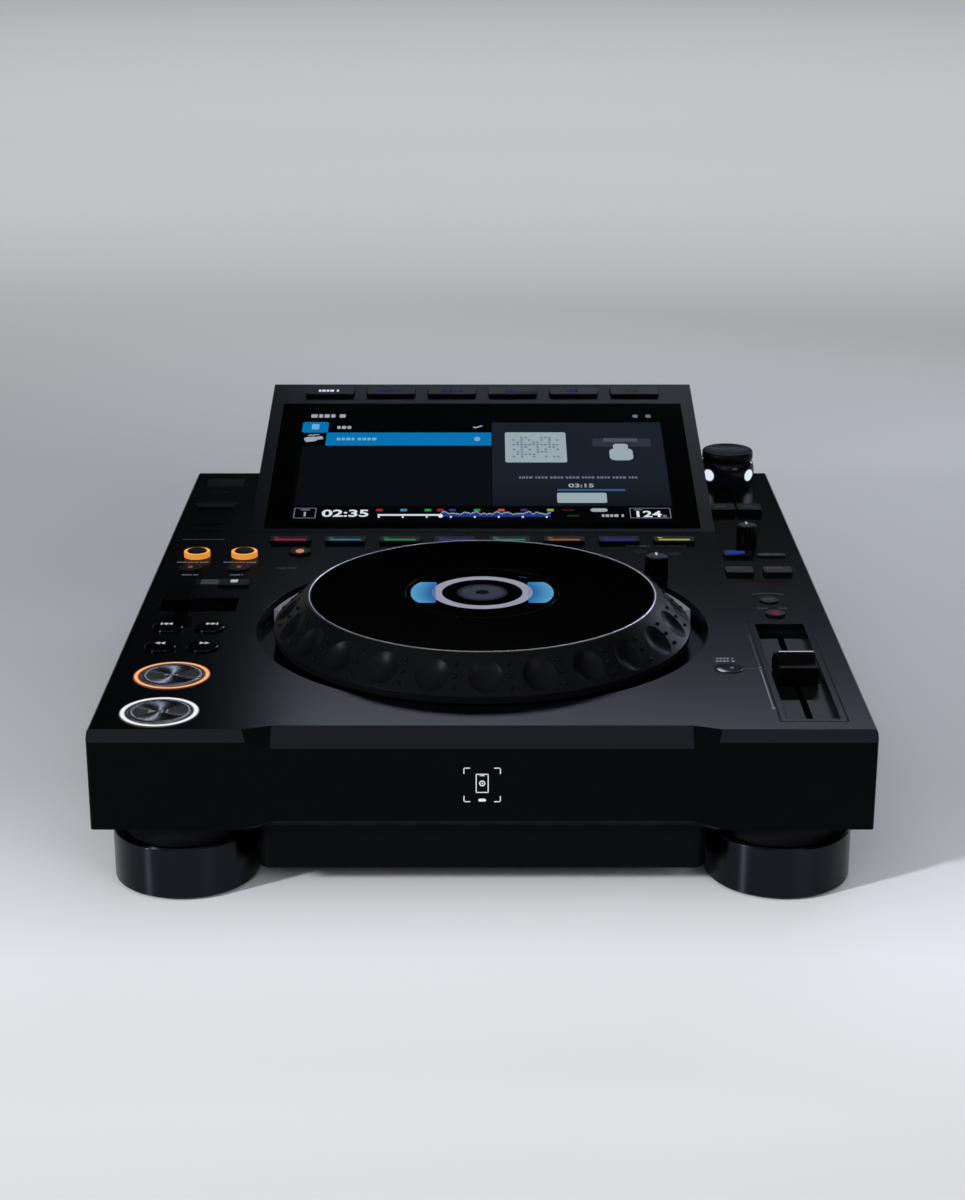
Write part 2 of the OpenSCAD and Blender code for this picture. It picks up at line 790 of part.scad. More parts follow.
module screen_bezel() {
    color([0.13, 0.135, 0.15]) difference() {
        intersection() {
            on_screen() translate([-screen_w / 2, -slope_l, -bezel_t])
                cube([screen_w, 3 * slope_l, bezel_t]);
            along_x(screen_w) wedge_outline(0);
        }
        // seat of the glass, and the window for the display under it
        on_screen() translate([-glass_w / 2 - glass_play, glass_in - glass_play, -glass_t])
            cube([glass_w + 2 * glass_play, glass_l + 2 * glass_play, glass_t + past]);
        on_screen() translate([-glass_w / 2 + window_in, glass_in + window_low, -bezel_t - past])
            cube([glass_w - 2 * window_in, glass_l - window_low - window_in, bezel_t + 2 * past]);
        // hollow under the band of keys
        on_screen() translate([-screen_w / 2 + side_wall, glass_in + glass_l + band_rib,
                               -bezel_t - past])
            cube([screen_w - 2 * side_wall, key_band - 2 * band_rib, bezel_t + past - menu_skin]);
        for (i = [0 : MENU_COUNT - 1])
            on_screen() translate([menu_x(i), menu_s, -menu_skin - past])
                linear_extrude(menu_skin + 2 * past)
                    rounded_rect([menu_size[0] + 2 * key_play, menu_size[1] + 2 * key_play],
                                 bar_corner + key_play);
    }
    color([0.13, 0.135, 0.15]) on_screen() for (x = MENU_POSTS)
        translate([x, menu_s, menu_board_z])
            cylinder(r = menu_post_r, h = sink - menu_board_z - menu_skin, $fn = 24);
}

module screen_rear_cover() {
    color([0.09, 0.095, 0.11]) difference() {
        along_x(screen_w) wedge_outline(bezel_t);
        along_x(screen_w - 2 * side_wall) {
            y0 = screen_y + bezel_t / sin(tilt) + cover_foot;
            y1 = back_y + overhang - side_wall;
            low = plate_z + side_wall;
            polygon([[y0, low], [back_y, low], [y1, low + screen_rise / 2 - cover_low],
                     [y1, plate_z + screen_rise + past], [y0, plate_z + screen_rise]]);
        }
    }
}

module touch_display() {
    color([0.02, 0.022, 0.028]) on_screen() {
        translate([-glass_w / 2, glass_in, -glass_t])
            cube([glass_w, glass_l, glass_t - glass_drop]);
        translate([-glass_w / 2 + window_in + window_play, glass_in + window_low + window_play,
                   1 - bezel_t])
            cube([glass_w - 2 * (window_in + window_play),
                  glass_l - window_low - window_in - 2 * window_play,
                  bezel_t - 1 - glass_t + sink]);
    }
}

// ---- jog ----

// The wheel's own outline, as [radius, height over the plate]
module wheel_outline() {
    run = skirt_low[0] - skirt_high[0];
    inner = deck_seat - deck_t;
    polygon([
        [jog_bore_r, hub_low], [jog_bore_r + hub_wall, hub_low], [jog_bore_r + hub_wall, inner],
        [skirt_high[0] - skirt_t, inner], [skirt_low[0] - skirt_t, inner - run],
        [skirt_low[0] - skirt_t, -skirt_drop], [skirt_low[0], -skirt_drop], skirt_low, skirt_high,
        [jog_top_r + rim_w, jog_h + rim_rise], [jog_top_r + plate_gap, jog_h + rim_rise],
        [jog_top_r + plate_gap, deck_seat], [jog_bore_r, deck_seat]]);
}

module jog_wheel() {
    slope = atan2(skirt_high[1] - skirt_low[1], skirt_low[0] - skirt_high[0]);
    mid = (skirt_low + skirt_high) / 2;
    out = dimple_ball - dimple_cut;
    color([0.06, 0.06, 0.065]) on_plate(jog_at) difference() {
        rotate_extrude($fn = 128) wheel_outline();
        for (i = [0 : dimple_count - 1])
            rotate([0, 0, dimple_turn + i * 360 / dimple_count - 90])
                translate([mid[0] + out * sin(slope), 0, mid[1] + out * cos(slope)])
                    sphere(dimple_ball);
    }
}

module jog_plate() {
    color([0.015, 0.015, 0.017]) on_plate(jog_at, deck_seat) difference() {
        cylinder(r = jog_top_r, h = jog_plate_t, $fn = 128);
        translate([0, 0, -past])
            cylinder(r = jog_display_r + display_gap, h = jog_plate_t + 2 * past, $fn = 128);
    }
}

// Fixed post: the wheel turns on it, and the centre display sits on its top
module jog_post() {
    low = pan_top - plate_z;
    seat = hub_low - hub_play;
    top = deck_seat + post_head;
    color([0.5, 0.5, 0.52]) on_plate(jog_at) rotate_extrude($fn = 96) polygon([
        [jog_bore_r - post_wall, low], [jog_bore_r + post_foot[0], low],
        [jog_bore_r + post_foot[0], low + post_foot[1]],
        [jog_bore_r + post_shoulder, low + post_foot[1]],
        [jog_bore_r + post_shoulder, seat], [jog_bore_r - running, seat],
        [jog_bore_r - running, top], [jog_bore_r - post_wall, top]]);
}

module jog_display() {
    color([0.015, 0.015, 0.017]) on_plate(jog_at, deck_seat + post_head) {
        cylinder(r = jog_display_r, h = jog_plate_t - post_head, $fn = 128);
        translate([0, 0, -display_stub])
            cylinder(r = jog_bore_r - post_wall - glass_play, h = display_stub + fit_gap);
    }
}

// ---- boards and power supply ----

module circuit_boards() {
    color([0.05, 0.25, 0.12]) {
        for (b = BOARDS)
            translate([b[0][0], b[0][1], plate_z + board_z - board_t])
                cube([b[1][0] - b[0][0], b[1][1] - b[0][1], board_t]);
        translate([main_board[0][0], main_board[0][1], plate_z + main_board_z])
            cube([main_board[1][0] - main_board[0][0], main_board[1][1] - main_board[0][1], board_t]);
        on_screen() translate([-MENU_COUNT / 2 * menu_pitch, menu_s - menu_board_half,
                               menu_board_z - menu_board_t])
            cube([MENU_COUNT * menu_pitch, 2 * menu_board_half, menu_board_t]);
    }
}

// A sheet cover, open below, that stands on the plinth's floor
module power_supply() {
    color([0.6, 0.6, 0.62]) translate([supply_at[0] - supply_size[0] / 2,
                                       supply_at[1] - supply_size[1] / 2, plinth_gap + pan_t])
        difference() {
            cube(supply_size);
            translate([supply_t, supply_t, -supply_t])
                cube(supply_size - [2 * supply_t, 2 * supply_t, 0]);
        }
}

// ---- keys ----

// Cap, hidden flange and stem of a key, from the outlines of its cap and its flange
module key_body(height) {
    stem_low = board_z + key_travel + stem_gap - key_base;
    linear_extrude(height - key_base) children(0);
    linear_extrude(flange_t) children(1);
    translate([0, 0, stem_low]) cylinder(r = stem_r, h = flange_t - stem_low, $fn = 24);
}

module round_key(k) {
    color([0.05, 0.05, 0.055]) on_plate(k[1], key_base) key_body(k[3]) {
        circle(k[2]);
        circle(k[2] + key_play + flange_w);
    }
}

module bar_key(k) {
    color([0.05, 0.05, 0.055]) on_plate(k[1], key_base) key_body(k[3]) {
        rounded_rect(k[2], bar_corner);
        rounded_rect(k[2] + [0, 2 * (key_play + flange_w)], bar_corner);
    }
}

module hot_cue_pad(i) {
    bar_key([str("pad", i), [pad_x(i), pad_y], [pad_size[0], pad_size[1]], pad_size[2]]);
}

// The flange of a bar key reaches out only in front and behind, so that keys can stand close
// together; a menu key moves square to the sloped face
module menu_key(i) {
    low = -menu_skin - flange_drop - flange_t;
    color([0.05, 0.05, 0.055]) on_screen() translate([menu_x(i), menu_s, low]) {
        linear_extrude(menu_size[2] - low) rounded_rect([menu_size[0], menu_size[1]], bar_corner);
        linear_extrude(flange_t)
            rounded_rect([menu_size[0] + 2 * (key_play + flange_w),
                          menu_size[1] + 2 * (key_play + flange_w)], bar_corner);
        translate([0, 0, -menu_stem]) cylinder(r = stem_r, h = menu_stem + flange_t, $fn = 24);
    }
}

// Lit parts that stay still: rings round keys, the light arc round the wheel, status windows
module light_ring(at, inner, outer, high) {
    on_plate(at, -top_t) difference() {
        cylinder(r = outer, h = top_t + high);
        translate([0, 0, -past]) cylinder(r = inner, h = top_t + high + 2 * past);
    }
}

module light_windows() {
    color([0.9, 0.75, 0.5]) {
        for (at = [play_at, cue_at])
            light_ring(at, play_r + key_play, play_ring_r, ring_rise[0]);
        for (at = [loop_in_at, loop_out_at])
            light_ring(at, loop_r + key_play, loop_ring_r, ring_rise[1]);
        on_plate(jog_at, -well_depth) rotate([0, 0, arc_start])
            rotate_extrude(angle = 180 - 2 * arc_start, $fn = 128)
                translate([jog_r + arc_in, 0]) square([arc_w, well_depth - arc_drop]);
    }
}

// ---- knobs, lever, slider and cover ----

// A knob on its shaft: tapered side, rounded upper edge, and a clip under the shaft's guide
module knob(size, shaft_r, taper, round_r) {
    top = knob_lift + size[1];
    clip = -bush_drop - fit_gap;
    rotate_extrude() union() {
        polygon([[0, clip - clip_t], [shaft_r + clip_w, clip - clip_t], [shaft_r + clip_w, clip],
                 [shaft_r, clip], [shaft_r, knob_lift],
                 [size[0] - knob_foot, knob_lift], [size[0], knob_lift + knob_foot],
                 [size[0] - taper, top - round_r], [size[0] - taper - round_r, top], [0, top]]);
        translate([size[0] - taper - round_r, top - round_r]) intersection() {
            circle(round_r, $fn = 48);
            square(round_r);
        }
    }
}

module rotary_selector() {
    color([0.02, 0.02, 0.022]) on_plate(selector_at)
        knob(selector_size, selector_shaft_r, 0.7, 2.4);
}

module jog_adjust_knob() {
    color([0.04, 0.04, 0.042]) on_plate(adjust_at) knob(adjust_size, adjust_shaft_r, 0.2, 0.8);
}

module vinyl_speed_knob() {
    color([0.04, 0.04, 0.042]) on_plate(speed_at) knob(speed_size, speed_shaft_r, 0.2, 0.8);
}

// Leans to the front at rest, on a pin through the two ears
module direction_lever() {
    color([0.03, 0.03, 0.032]) on_plate(lever_at, lever_pivot) {
        rotate([lever_tilt, 0, 0]) {
            translate([0, 0, lever_cap_low]) linear_extrude(lever_size[2])
                rounded_rect([lever_size[0], lever_size[1]], lever_corner);
            translate([-lever_foot[0] / 2, -lever_foot[1] / 2, -lever_foot_low])
                cube([lever_foot[0], lever_foot[1], lever_cap_low + lever_foot_low + sink]);
        }
        rotate([0, 90, 0])
            cylinder(r = lever_pin_r, h = lever_foot[0] + 2 * (lever_ear_gap + ear_t), center = true);
    }
}

// A trough under the plate, with a guide for the slider's stem
module tempo_track() {
    low = track_floor - track_floor_t;
    color([0.07, 0.07, 0.08]) on_plate(tempo_at) difference() {
        union() {
            translate([0, 0, low]) linear_extrude(-low - top_t)
                rounded_rect(tempo_recess + 2 * [track_lip, track_lip], recess_corner + sink);
            translate([0, 0, low - track_box[1]]) linear_extrude(track_box[1] + sink)
                square([track_box[0], tempo_recess[1]], center = true);
        }
        translate([0, 0, track_floor]) linear_extrude(-track_floor)
            rounded_rect(tempo_recess, recess_corner);
        translate([0, 0, low - track_box[1] + track_wall])
            linear_extrude(track_box[1] + track_floor_t)
                square([track_slot, tempo_recess[1] - 2 * track_end], center = true);
        translate([0, 0, low - track_box[1] + track_wall])
            linear_extrude(track_box[1] - track_wall - sink)
                square([track_box[0] - 2 * track_wall, tempo_recess[1] - 2 * track_end],
                       center = true);
    }
}

// The cap has a ridge across its middle and falls away in a hollow on both sides
module tempo_slider() {
    low = track_floor + tempo_lift;
    stem_low = track_floor - track_floor_t - track_box[1] + track_wall + 1;
    half = tempo_cap[1] / 2;
    top = tempo_cap[2];
    drop = top - tempo_end;
    run = half - tempo_ridge[1] / 2;
    hollow_r = (run * run + drop * drop) / (2 * drop);
    color([0.04, 0.04, 0.042]) on_plate(tempo_at) {
        intersection() {
            difference() {
                along_x(tempo_cap[0]) polygon([
                    [-half, low], [half, low], [half, tempo_end], [half, top], [-half, top],
                    [-half, tempo_end]]);
                for (side = [-1, 1])
                    translate([0, side * half, tempo_end + hollow_r]) rotate([0, 90, 0])
                        cylinder(r = hollow_r, h = tempo_cap[0] + 2, center = true, $fn = 128);
            }
            rotate([90, 0, 0]) translate([0, 0, -half - past]) linear_extrude(2 * (half + past))
                polygon([[-tempo_cap[0] / 2, low], [tempo_cap[0] / 2, low],
                         [tempo_cap[0] / 2, sink], [tempo_ridge[0] / 2, top],
                         [-tempo_ridge[0] / 2, top], [-tempo_cap[0] / 2, sink]]);
        }
        translate([-slider_stem[0] / 2, -slider_stem[1] / 2, stem_low])
            cube([slider_stem[0], slider_stem[1], low + sink - stem_low]);
    }
}

module port_cover() {
    color([0.05, 0.05, 0.055]) on_plate(port_at) {
        hinge_y = port_cover[1] / 2 - port_hinge_r;
        translate([0, -port_hinge_r / 2, -port_cover[2]]) linear_extrude(port_cover[2])
            square([port_cover[0], port_cover[1] - port_hinge_r], center = true);
        translate([0, hinge_y, -port_hinge_r]) rotate([0, 90, 0]) {
            cylinder(r = port_hinge_r, h = port_cover[0], center = true);
            cylinder(r = port_pin_r, h = port_cover[0] + 2 * port_pin_l, center = true);
        }
    }
}

upper_case();
lower_case();
sockets();
screen_bezel();
screen_rear_cover();
touch_display();
foot_rings();
foot_cores();
jog_post();
jog_display();
circuit_boards();
power_supply();
tempo_track();
screws();
light_windows();
jog_wheel();
jog_plate();
direction_lever();
port_cover();
rotary_selector();
jog_adjust_knob();
vinyl_speed_knob();
tempo_slider();
power_switch();
for (k = ROUND_KEYS) round_key(k);
for (k = BAR_KEYS) bar_key(k);
for (i = [1 : PAD_COUNT]) hot_cue_pad(i - 1);
for (i = [1 : MENU_COUNT]) menu_key(i - 1);
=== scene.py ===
# A tabletop DJ player: the finishes of its case, its small moulded and turned parts, what is
# printed on its plate, its lit display, and the studio it stands in.

import json
import math

import bmesh
import bpy
from mathutils import Matrix, Vector

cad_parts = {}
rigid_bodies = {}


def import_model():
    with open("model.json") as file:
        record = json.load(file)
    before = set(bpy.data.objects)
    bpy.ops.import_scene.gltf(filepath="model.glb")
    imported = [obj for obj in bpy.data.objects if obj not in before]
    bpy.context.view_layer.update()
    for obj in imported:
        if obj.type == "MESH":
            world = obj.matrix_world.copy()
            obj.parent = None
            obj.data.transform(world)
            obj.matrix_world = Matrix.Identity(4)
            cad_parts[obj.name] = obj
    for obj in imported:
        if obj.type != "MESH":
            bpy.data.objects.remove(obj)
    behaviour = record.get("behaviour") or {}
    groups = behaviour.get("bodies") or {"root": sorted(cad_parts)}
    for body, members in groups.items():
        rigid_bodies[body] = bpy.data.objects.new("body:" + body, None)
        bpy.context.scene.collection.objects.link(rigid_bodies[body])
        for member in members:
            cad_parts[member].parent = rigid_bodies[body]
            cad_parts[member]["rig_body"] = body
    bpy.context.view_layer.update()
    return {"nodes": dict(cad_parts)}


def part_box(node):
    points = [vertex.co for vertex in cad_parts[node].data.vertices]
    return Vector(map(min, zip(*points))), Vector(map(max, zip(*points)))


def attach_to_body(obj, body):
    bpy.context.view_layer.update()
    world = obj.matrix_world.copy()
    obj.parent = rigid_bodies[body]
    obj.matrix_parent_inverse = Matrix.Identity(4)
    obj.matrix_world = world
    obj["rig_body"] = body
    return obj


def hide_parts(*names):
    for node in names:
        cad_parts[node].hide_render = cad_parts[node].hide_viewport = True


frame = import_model()

# Places are written in millimetres in the part's own frame
MM = 0.001
# Edges that turn by less than this many degrees are shaded as round
SMOOTH = 35
# Corners nearer than this become one
WELD = 0.002 * MM


def reach(node):
    """The lowest and highest corner of a node, in millimetres."""
    low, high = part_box(node)
    return low / MM, high / MM


CASE_LOW, CASE_HIGH = reach("upper_case")
PLATE = CASE_HIGH.z
BEZEL_LOW, BEZEL_HIGH = reach("screen_bezel")
SLOPE = math.atan2(BEZEL_HIGH.z - BEZEL_LOW.z, BEZEL_HIGH.y - BEZEL_LOW.y)
SLOPE_FOOT = Matrix.Translation(Vector((0, BEZEL_LOW.y, BEZEL_LOW.z)) * MM)
SLOPE_PLACE = SLOPE_FOOT @ Matrix.Rotation(SLOPE, 4, "X")
WHEEL_LOW, WHEEL_HIGH = reach("jog_wheel")
JOG = Vector((0, (WHEEL_LOW.y + WHEEL_HIGH.y) / 2, PLATE))


def left(d):
    """A distance from the case's left side, as a place across."""
    return CASE_LOW.x + d


def ahead(d):
    """A distance from the case's front, as a place front to back."""
    return CASE_LOW.y + d


def body_of(node):
    return frame["nodes"][node]["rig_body"]


def middle(node):
    """The middle of a node seen from above, and the height of its top."""
    low, high = reach(node)
    return Vector(((low.x + high.x) / 2, (low.y + high.y) / 2, high.z))


def tone(red, green, blue):
    """A colour as the eye counts it, 0 to 255, as linear light."""
    return tuple(((v / 255 + 0.055) / 1.055) ** 2.4 for v in (red, green, blue))


# ---- Finishes ----


class Wire:
    """A socket's value. Adding, multiplying or comparing it places the Math node that does so."""

    def __init__(self, socket):
        self.socket = socket

    def also(self, name):
        return Wire(self.socket.node.outputs[name])

    def maths(self, operation, *values):
        tree = self.socket.id_data
        return place(tree, "ShaderNodeMath", {"operation": operation}, dict(enumerate(values)))

    def __add__(self, other):
        return self.maths("ADD", self, other)

    __radd__ = __add__

    def __sub__(self, other):
        return self.maths("SUBTRACT", self, other)

    def __mul__(self, other):
        return self.maths("MULTIPLY", self, other)

    def __lt__(self, other):
        return self.maths("LESS_THAN", self, other)

    def __gt__(self, other):
        return self.maths("GREATER_THAN", self, other)

    def __abs__(self):
        return self.maths("ABSOLUTE", self)


def place(tree, kind, settings=None, inputs=None, out=0):
    """Places one node: its settings first, then the value or wire of each socket."""
    node = tree.nodes.new(kind)
    for name, value in (settings or {}).items():
        if name == "stops":
            stops = node.color_ramp.elements
            for number, (at, colour) in enumerate(value):
                stop = stops[number] if number < 2 else stops.new(at)
                stop.position = at
                stop.color = (*colour, 1)
        else:
            setattr(node, name, value)
    for name, value in (inputs or {}).items():
        if isinstance(value, Wire):
            tree.links.new(value.socket, node.inputs[name])
        else:
            node.inputs[name].default_value = value
    return Wire(node.outputs[out])


def paint(colour):
    """A colour as a socket takes it: a wire as it is, or three numbers and a solid fourth."""
    return colour if isinstance(colour, Wire) else (*colour, 1)


def blend(tree, share, first, second):
    """The first colour where share is 0, the second where it is 1."""
    inputs = {0: share, 6: paint(first), 7: paint(second)}
    return place(tree, "ShaderNodeMix", {"data_type": "RGBA"}, inputs, 2)


def scaled(colour, amount):
    return tuple(v * amount for v in colour)


def noise(tree, where, scale, detail):
    inputs = {"Vector": where, "Scale": scale, "Detail": detail}
    return place(tree, "ShaderNodeTexNoise", {}, inputs)


def fresh(name):
    """A new material, its empty tree, and the place of each point in the part's frame."""
    material = bpy.data.materials.new(name)
    material.use_nodes = True
    tree = material.node_tree
    tree.nodes.clear()
    return material, tree, place(tree, "ShaderNodeTexCoord", {}, {}, "Object")


def end(tree, shader):
    node = tree.nodes.new("ShaderNodeOutputMaterial")
    tree.links.new(shader.socket, node.inputs["Surface"])


def dot(tree, first, second):
    settings = {"operation": "DOT_PRODUCT"}
    return place(tree, "ShaderNodeVectorMath", settings, {0: first, 1: second}, "Value")


def eased(tree, value, low, high):
    """0 where the value is at low and 1 where it is at high, with an eased change between."""
    inputs = {"Value": value, "From Min": low, "From Max": high}
    return place(tree, "ShaderNodeMapRange", {"interpolation_type": "SMOOTHSTEP"}, inputs)


def from_axis(tree, where, at):
    """How far each point is from the upright axis through at, in metres."""
    inputs = {0: where, 1: (1, 1, 0), 2: (-at[0] * MM, -at[1] * MM, 0)}
    flat = place(tree, "ShaderNodeVectorMath", {"operation": "MULTIPLY_ADD"}, inputs)
    return place(tree, "ShaderNodeVectorMath", {"operation": "LENGTH"}, {0: flat}, "Value")


def coated(
    name,
    colour,
    rough,
    metal=0.0,
    shine=0.25,
    grain=0.015,
    fine=1400.0,
    cloud=0.2,
    spread=0.08,
    soft=0.3,
    worn=0.6,
    brushed=0.0,
    brush_turn=0.0,
    comb=None,
    tint=None,
):
    """A solid finish: grain, drifting tint and gloss, edges that are rounded and painted paler,
    part wear and part painted highlight.

    grain is the grain's depth and soft the edges' radius, in millimetres; cloud and spread are
    how far the tint and the gloss drift; comb draws the grain out, and tint changes the colour.
    """
    material, tree, where = fresh(name)
    drift = noise(tree, where, 26.0, 5.0)
    fleck = noise(tree, comb(tree, where) if comb else where, fine, 3.0)
    rounded = place(tree, "ShaderNodeBevel", {"samples": 4}, {"Radius": soft * MM})
    face = place(tree, "ShaderNodeNewGeometry", {}, {}, "Normal")
    facing = dot(tree, rounded, face)
    # Painted highlight and wear: rounded edges are painted paler in drifting patches, part wear
    # and part a painted highlight
    wear_and_highlight_mask = eased(tree, facing, 0.995, 0.8)
    base = blend(tree, drift, scaled(colour, 1 - cloud), scaled(colour, 1 + cloud))
    base = blend(tree, (fleck - 0.35) * 0.5, base, scaled(colour, 1.9))
    base = blend(tree, wear_and_highlight_mask * drift * worn, base, tuple(v * 2.0 + 0.004 for v in colour))
    if tint:
        base = tint(tree, base)
    relief = {"Strength": 0.8, "Distance": grain * MM, "Height": fleck, "Normal": rounded}
    bump = place(tree, "ShaderNodeBump", {}, relief)
    look = {
        "Base Color": base,
        "Metallic": metal,
        "Roughness": rough + (drift - 0.5) * spread + (fleck - 0.5) * spread,
        "Specular IOR Level": shine,
        "IOR": 1.32,
        "Anisotropic": brushed,
        "Anisotropic Rotation": brush_turn,
        "Normal": bump,
    }
    end(tree, place(tree, "ShaderNodeBsdfPrincipled", {}, look))
    return material


def glowing(name, *shade, depth=0.12, glow=None, rough=0.07):
    """A lit window, a lit patch of a display or a glowing painted reflection, its shade as the eye
    counts it, 0 to 255.
    """
    colour = tone(*shade)
    material, tree, where = fresh(name)
    drift = noise(tree, where, 160.0, 2.0)
    if glow:
        light = glow(tree, where)
    else:
        light = blend(tree, drift, scaled(colour, 1 - depth), scaled(colour, 1 + depth))
    look = {
        "Base Color": paint(scaled(colour, 0.08)),
        "Roughness": rough + (drift - 0.5) * 0.03,
        "Specular IOR Level": 0.2,
        "IOR": 1.35,
        "Emission Color": light,
        "Emission Strength": 1.0,
    }
    end(tree, place(tree, "ShaderNodeBsdfPrincipled", {}, look))
    return material


# ---- Work on pieces ----

# A slot name for what is lit; the key table lists it, but no piece is given a slot
LIGHT = "light_window"


def blank(name):
    """A new empty piece, opened for work."""
    piece = bpy.data.objects.new(name, bpy.data.meshes.new(name))
    bpy.context.scene.collection.objects.link(piece)
    open_up(piece)
    return piece


def choose(piece, *others):
    """Chooses these pieces and nothing else, the first as the one worked on."""
    bpy.ops.object.select_all(action="DESELECT")
    for chosen in (piece, *others):
        chosen.select_set(True)
    bpy.context.view_layer.objects.active = piece


def open_up(piece):
    choose(piece)
    bpy.ops.object.mode_set(mode="EDIT")


def close(angle=SMOOTH):
    """Ends the work and smooths what is round."""
    bpy.ops.object.mode_set(mode="OBJECT")
    bpy.ops.object.shade_smooth_by_angle(angle=math.radians(angle))


def take(piece, kind, **settings):
    """Puts a modifier on a piece and applies it."""
    choose(piece)
    step = piece.modifiers.new("step", kind)
    for name, value in settings.items():
        setattr(step, name, value)
    bpy.ops.object.modifier_apply(modifier=step.name)


def face_up():
    """Turns the chosen flat faces so that they look up."""
    form = bmesh.from_edit_mesh(bpy.context.edit_object.data)
    form.normal_update()
    chosen = [f for f in form.faces if f.select]
    if chosen and sum(f.normal.z for f in chosen) < 0:
        bpy.ops.mesh.flip_normals()


def bar(x, y, wide, deep, z, corner=0.0, turn=0.0):
    """A flat bar, its corners rounded, turned to the left by an angle."""
    at = Vector((x, y, z)) * MM
    bpy.ops.mesh.primitive_plane_add(size=MM, location=at)
    bpy.ops.transform.resize(value=(wide, deep, 1), center_override=at)
    if corner:
        bpy.ops.mesh.bevel(offset=corner * MM, segments=4, affect="VERTICES")
    if turn:
        bpy.ops.transform.rotate(value=-math.radians(turn), orient_axis="Z", center_override=at)


def disc(x, y, radius, z, sides=32, deep=1.0):
    """A flat disc, or an oval where deep isn't 1."""
    at = Vector((x, y, z)) * MM
    bpy.ops.mesh.primitive_circle_add(
        vertices=sides, radius=radius * MM, fill_type="NGON", location=at
    )
    if deep != 1.0:
        bpy.ops.transform.resize(value=(1, deep, 1), center_override=at)


def outline(points, z):
    """A flat face with these corners, named against the clock."""
    bpy.ops.mesh.primitive_circle_add(vertices=len(points), radius=MM, fill_type="NGON")
    form = bmesh.from_edit_mesh(bpy.context.edit_object.data)
    for corner, (x, y) in zip([v for v in form.verts if v.select], points):
        corner.co = Vector((x, y, z)) * MM
    bmesh.update_edit_mesh(bpy.context.edit_object.data)
    face_up()


def thread(points):
    """A bare profile, drawn out corner by corner from one point."""
    start = Vector(points[0]) * MM
    bpy.ops.mesh.primitive_plane_add(size=MM, location=start)
    bpy.ops.mesh.merge(type="CENTER")
    for before, after in zip(points, points[1:]):
        step = (Vector(after) - Vector(before)) * MM
        bpy.ops.mesh.extrude_vertices_move(TRANSFORM_OT_translate={"value": step})
    bpy.ops.mesh.select_linked()


def band(x, y, outer, inner, z, start=0.0, sweep=360.0, steps=96):
    """A flat ring, or an arc of one, from an angle on against the clock."""
    a = math.radians(start)
    points = [(x + r * math.cos(a), y + r * math.sin(a), z) for r in (inner, outer)]
    thread(points)
    middle_at = Vector((x, y, z)) * MM
    bpy.ops.mesh.spin(steps=steps, angle=-math.radians(sweep), center=middle_at, axis=(0, 0, 1))
    bpy.ops.mesh.select_linked()
    bpy.ops.mesh.remove_doubles(threshold=WELD)
    face_up()


def turned(at, profile, steps=96):
    """A solid of turning: (radius, height) from the top's middle to the bottom's middle."""
    thread([(at[0] + r, at[1], at[2] + z) for r, z in profile])
    bpy.ops.mesh.spin(steps=steps, angle=-2 * math.pi, center=Vector(at) * MM, axis=(0, 0, 1))
    bpy.ops.mesh.select_linked()
    bpy.ops.mesh.remove_doubles(threshold=WELD)
    bpy.ops.mesh.normals_make_consistent(inside=False)


# Blocks that stand for letters: their widths, and the gaps between letters and words, all as
# shares of a block's height
BLOCK_WIDTHS = [1.5, 0.9, 1.2, 1.0, 1.4, 0.8, 1.1]
NARROW = 0.62
LETTER_GAP = 0.22
WORD_GAP = 0.62
WORD_LENGTH = 4


def wording(x, y, wide, deep, z, beat=0):
    """A line of small blocks where a label is printed, with no letters in it."""
    at = 0.0
    for number, share in enumerate(BLOCK_WIDTHS[beat % 3 :] * 12):
        w = share * deep * NARROW
        if at + w > wide:
            break
        bar(x - wide / 2 + at + w / 2, y, w, deep, z, corner=deep * 0.16)
        at += w + deep * (WORD_GAP if (number + 1) % WORD_LENGTH == 0 else LETTER_GAP)


def thickened(piece, thick):
    take(piece, "SOLIDIFY", thickness=thick * MM, offset=1.0)
    bpy.ops.object.shade_flat()


# A digit's height as a share of the text's size, how much bolder and how much wider it is drawn
DIGIT_SHARE = 0.7
BOLDER = 0.035
WIDER = 1.12


def figures(piece, text, x, y, z, tall):
    """Sets digits into a piece, flat, in the middle of their place."""
    bpy.ops.object.select_all(action="DESELECT")
    bpy.ops.object.text_add()
    words = bpy.context.active_object
    words.data.body = text
    words.data.size = tall * MM / DIGIT_SHARE
    words.data.offset = tall * MM * BOLDER
    words.data.align_x = "CENTER"
    words.data.align_y = "CENTER"
    bpy.ops.object.convert(target="MESH")
    words = bpy.context.active_object
    stretched = Matrix.Diagonal((WIDER, 1, 1, 1))
    words.data.transform(Matrix.Translation(Vector((x, y, z)) * MM) @ stretched)
    choose(piece, words)
    bpy.ops.object.join()


def up_the_slope(piece):
    """Moves what was drawn flat, across and up the slope, on to the screen's face."""
    piece.data.transform(SLOPE_PLACE)


def attach(piece, body, finish, stands_for=()):
    """Gives a piece its finish, the body it moves with and the nodes it replaces."""
    piece.data.materials.clear()
    piece.data.materials.append(finish)
    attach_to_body(piece, body)
    if stands_for:
        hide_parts(*stands_for)


def printed(name, draw, finish, body="chassis", thick=0.03, sloped=False):
    """A piece of flat marks on what carries it; draw says which."""
    piece = blank(name)
    draw()
    close()
    thickened(piece, thick)
    if sloped:
        up_the_slope(piece)
    attach(piece, body, finish)


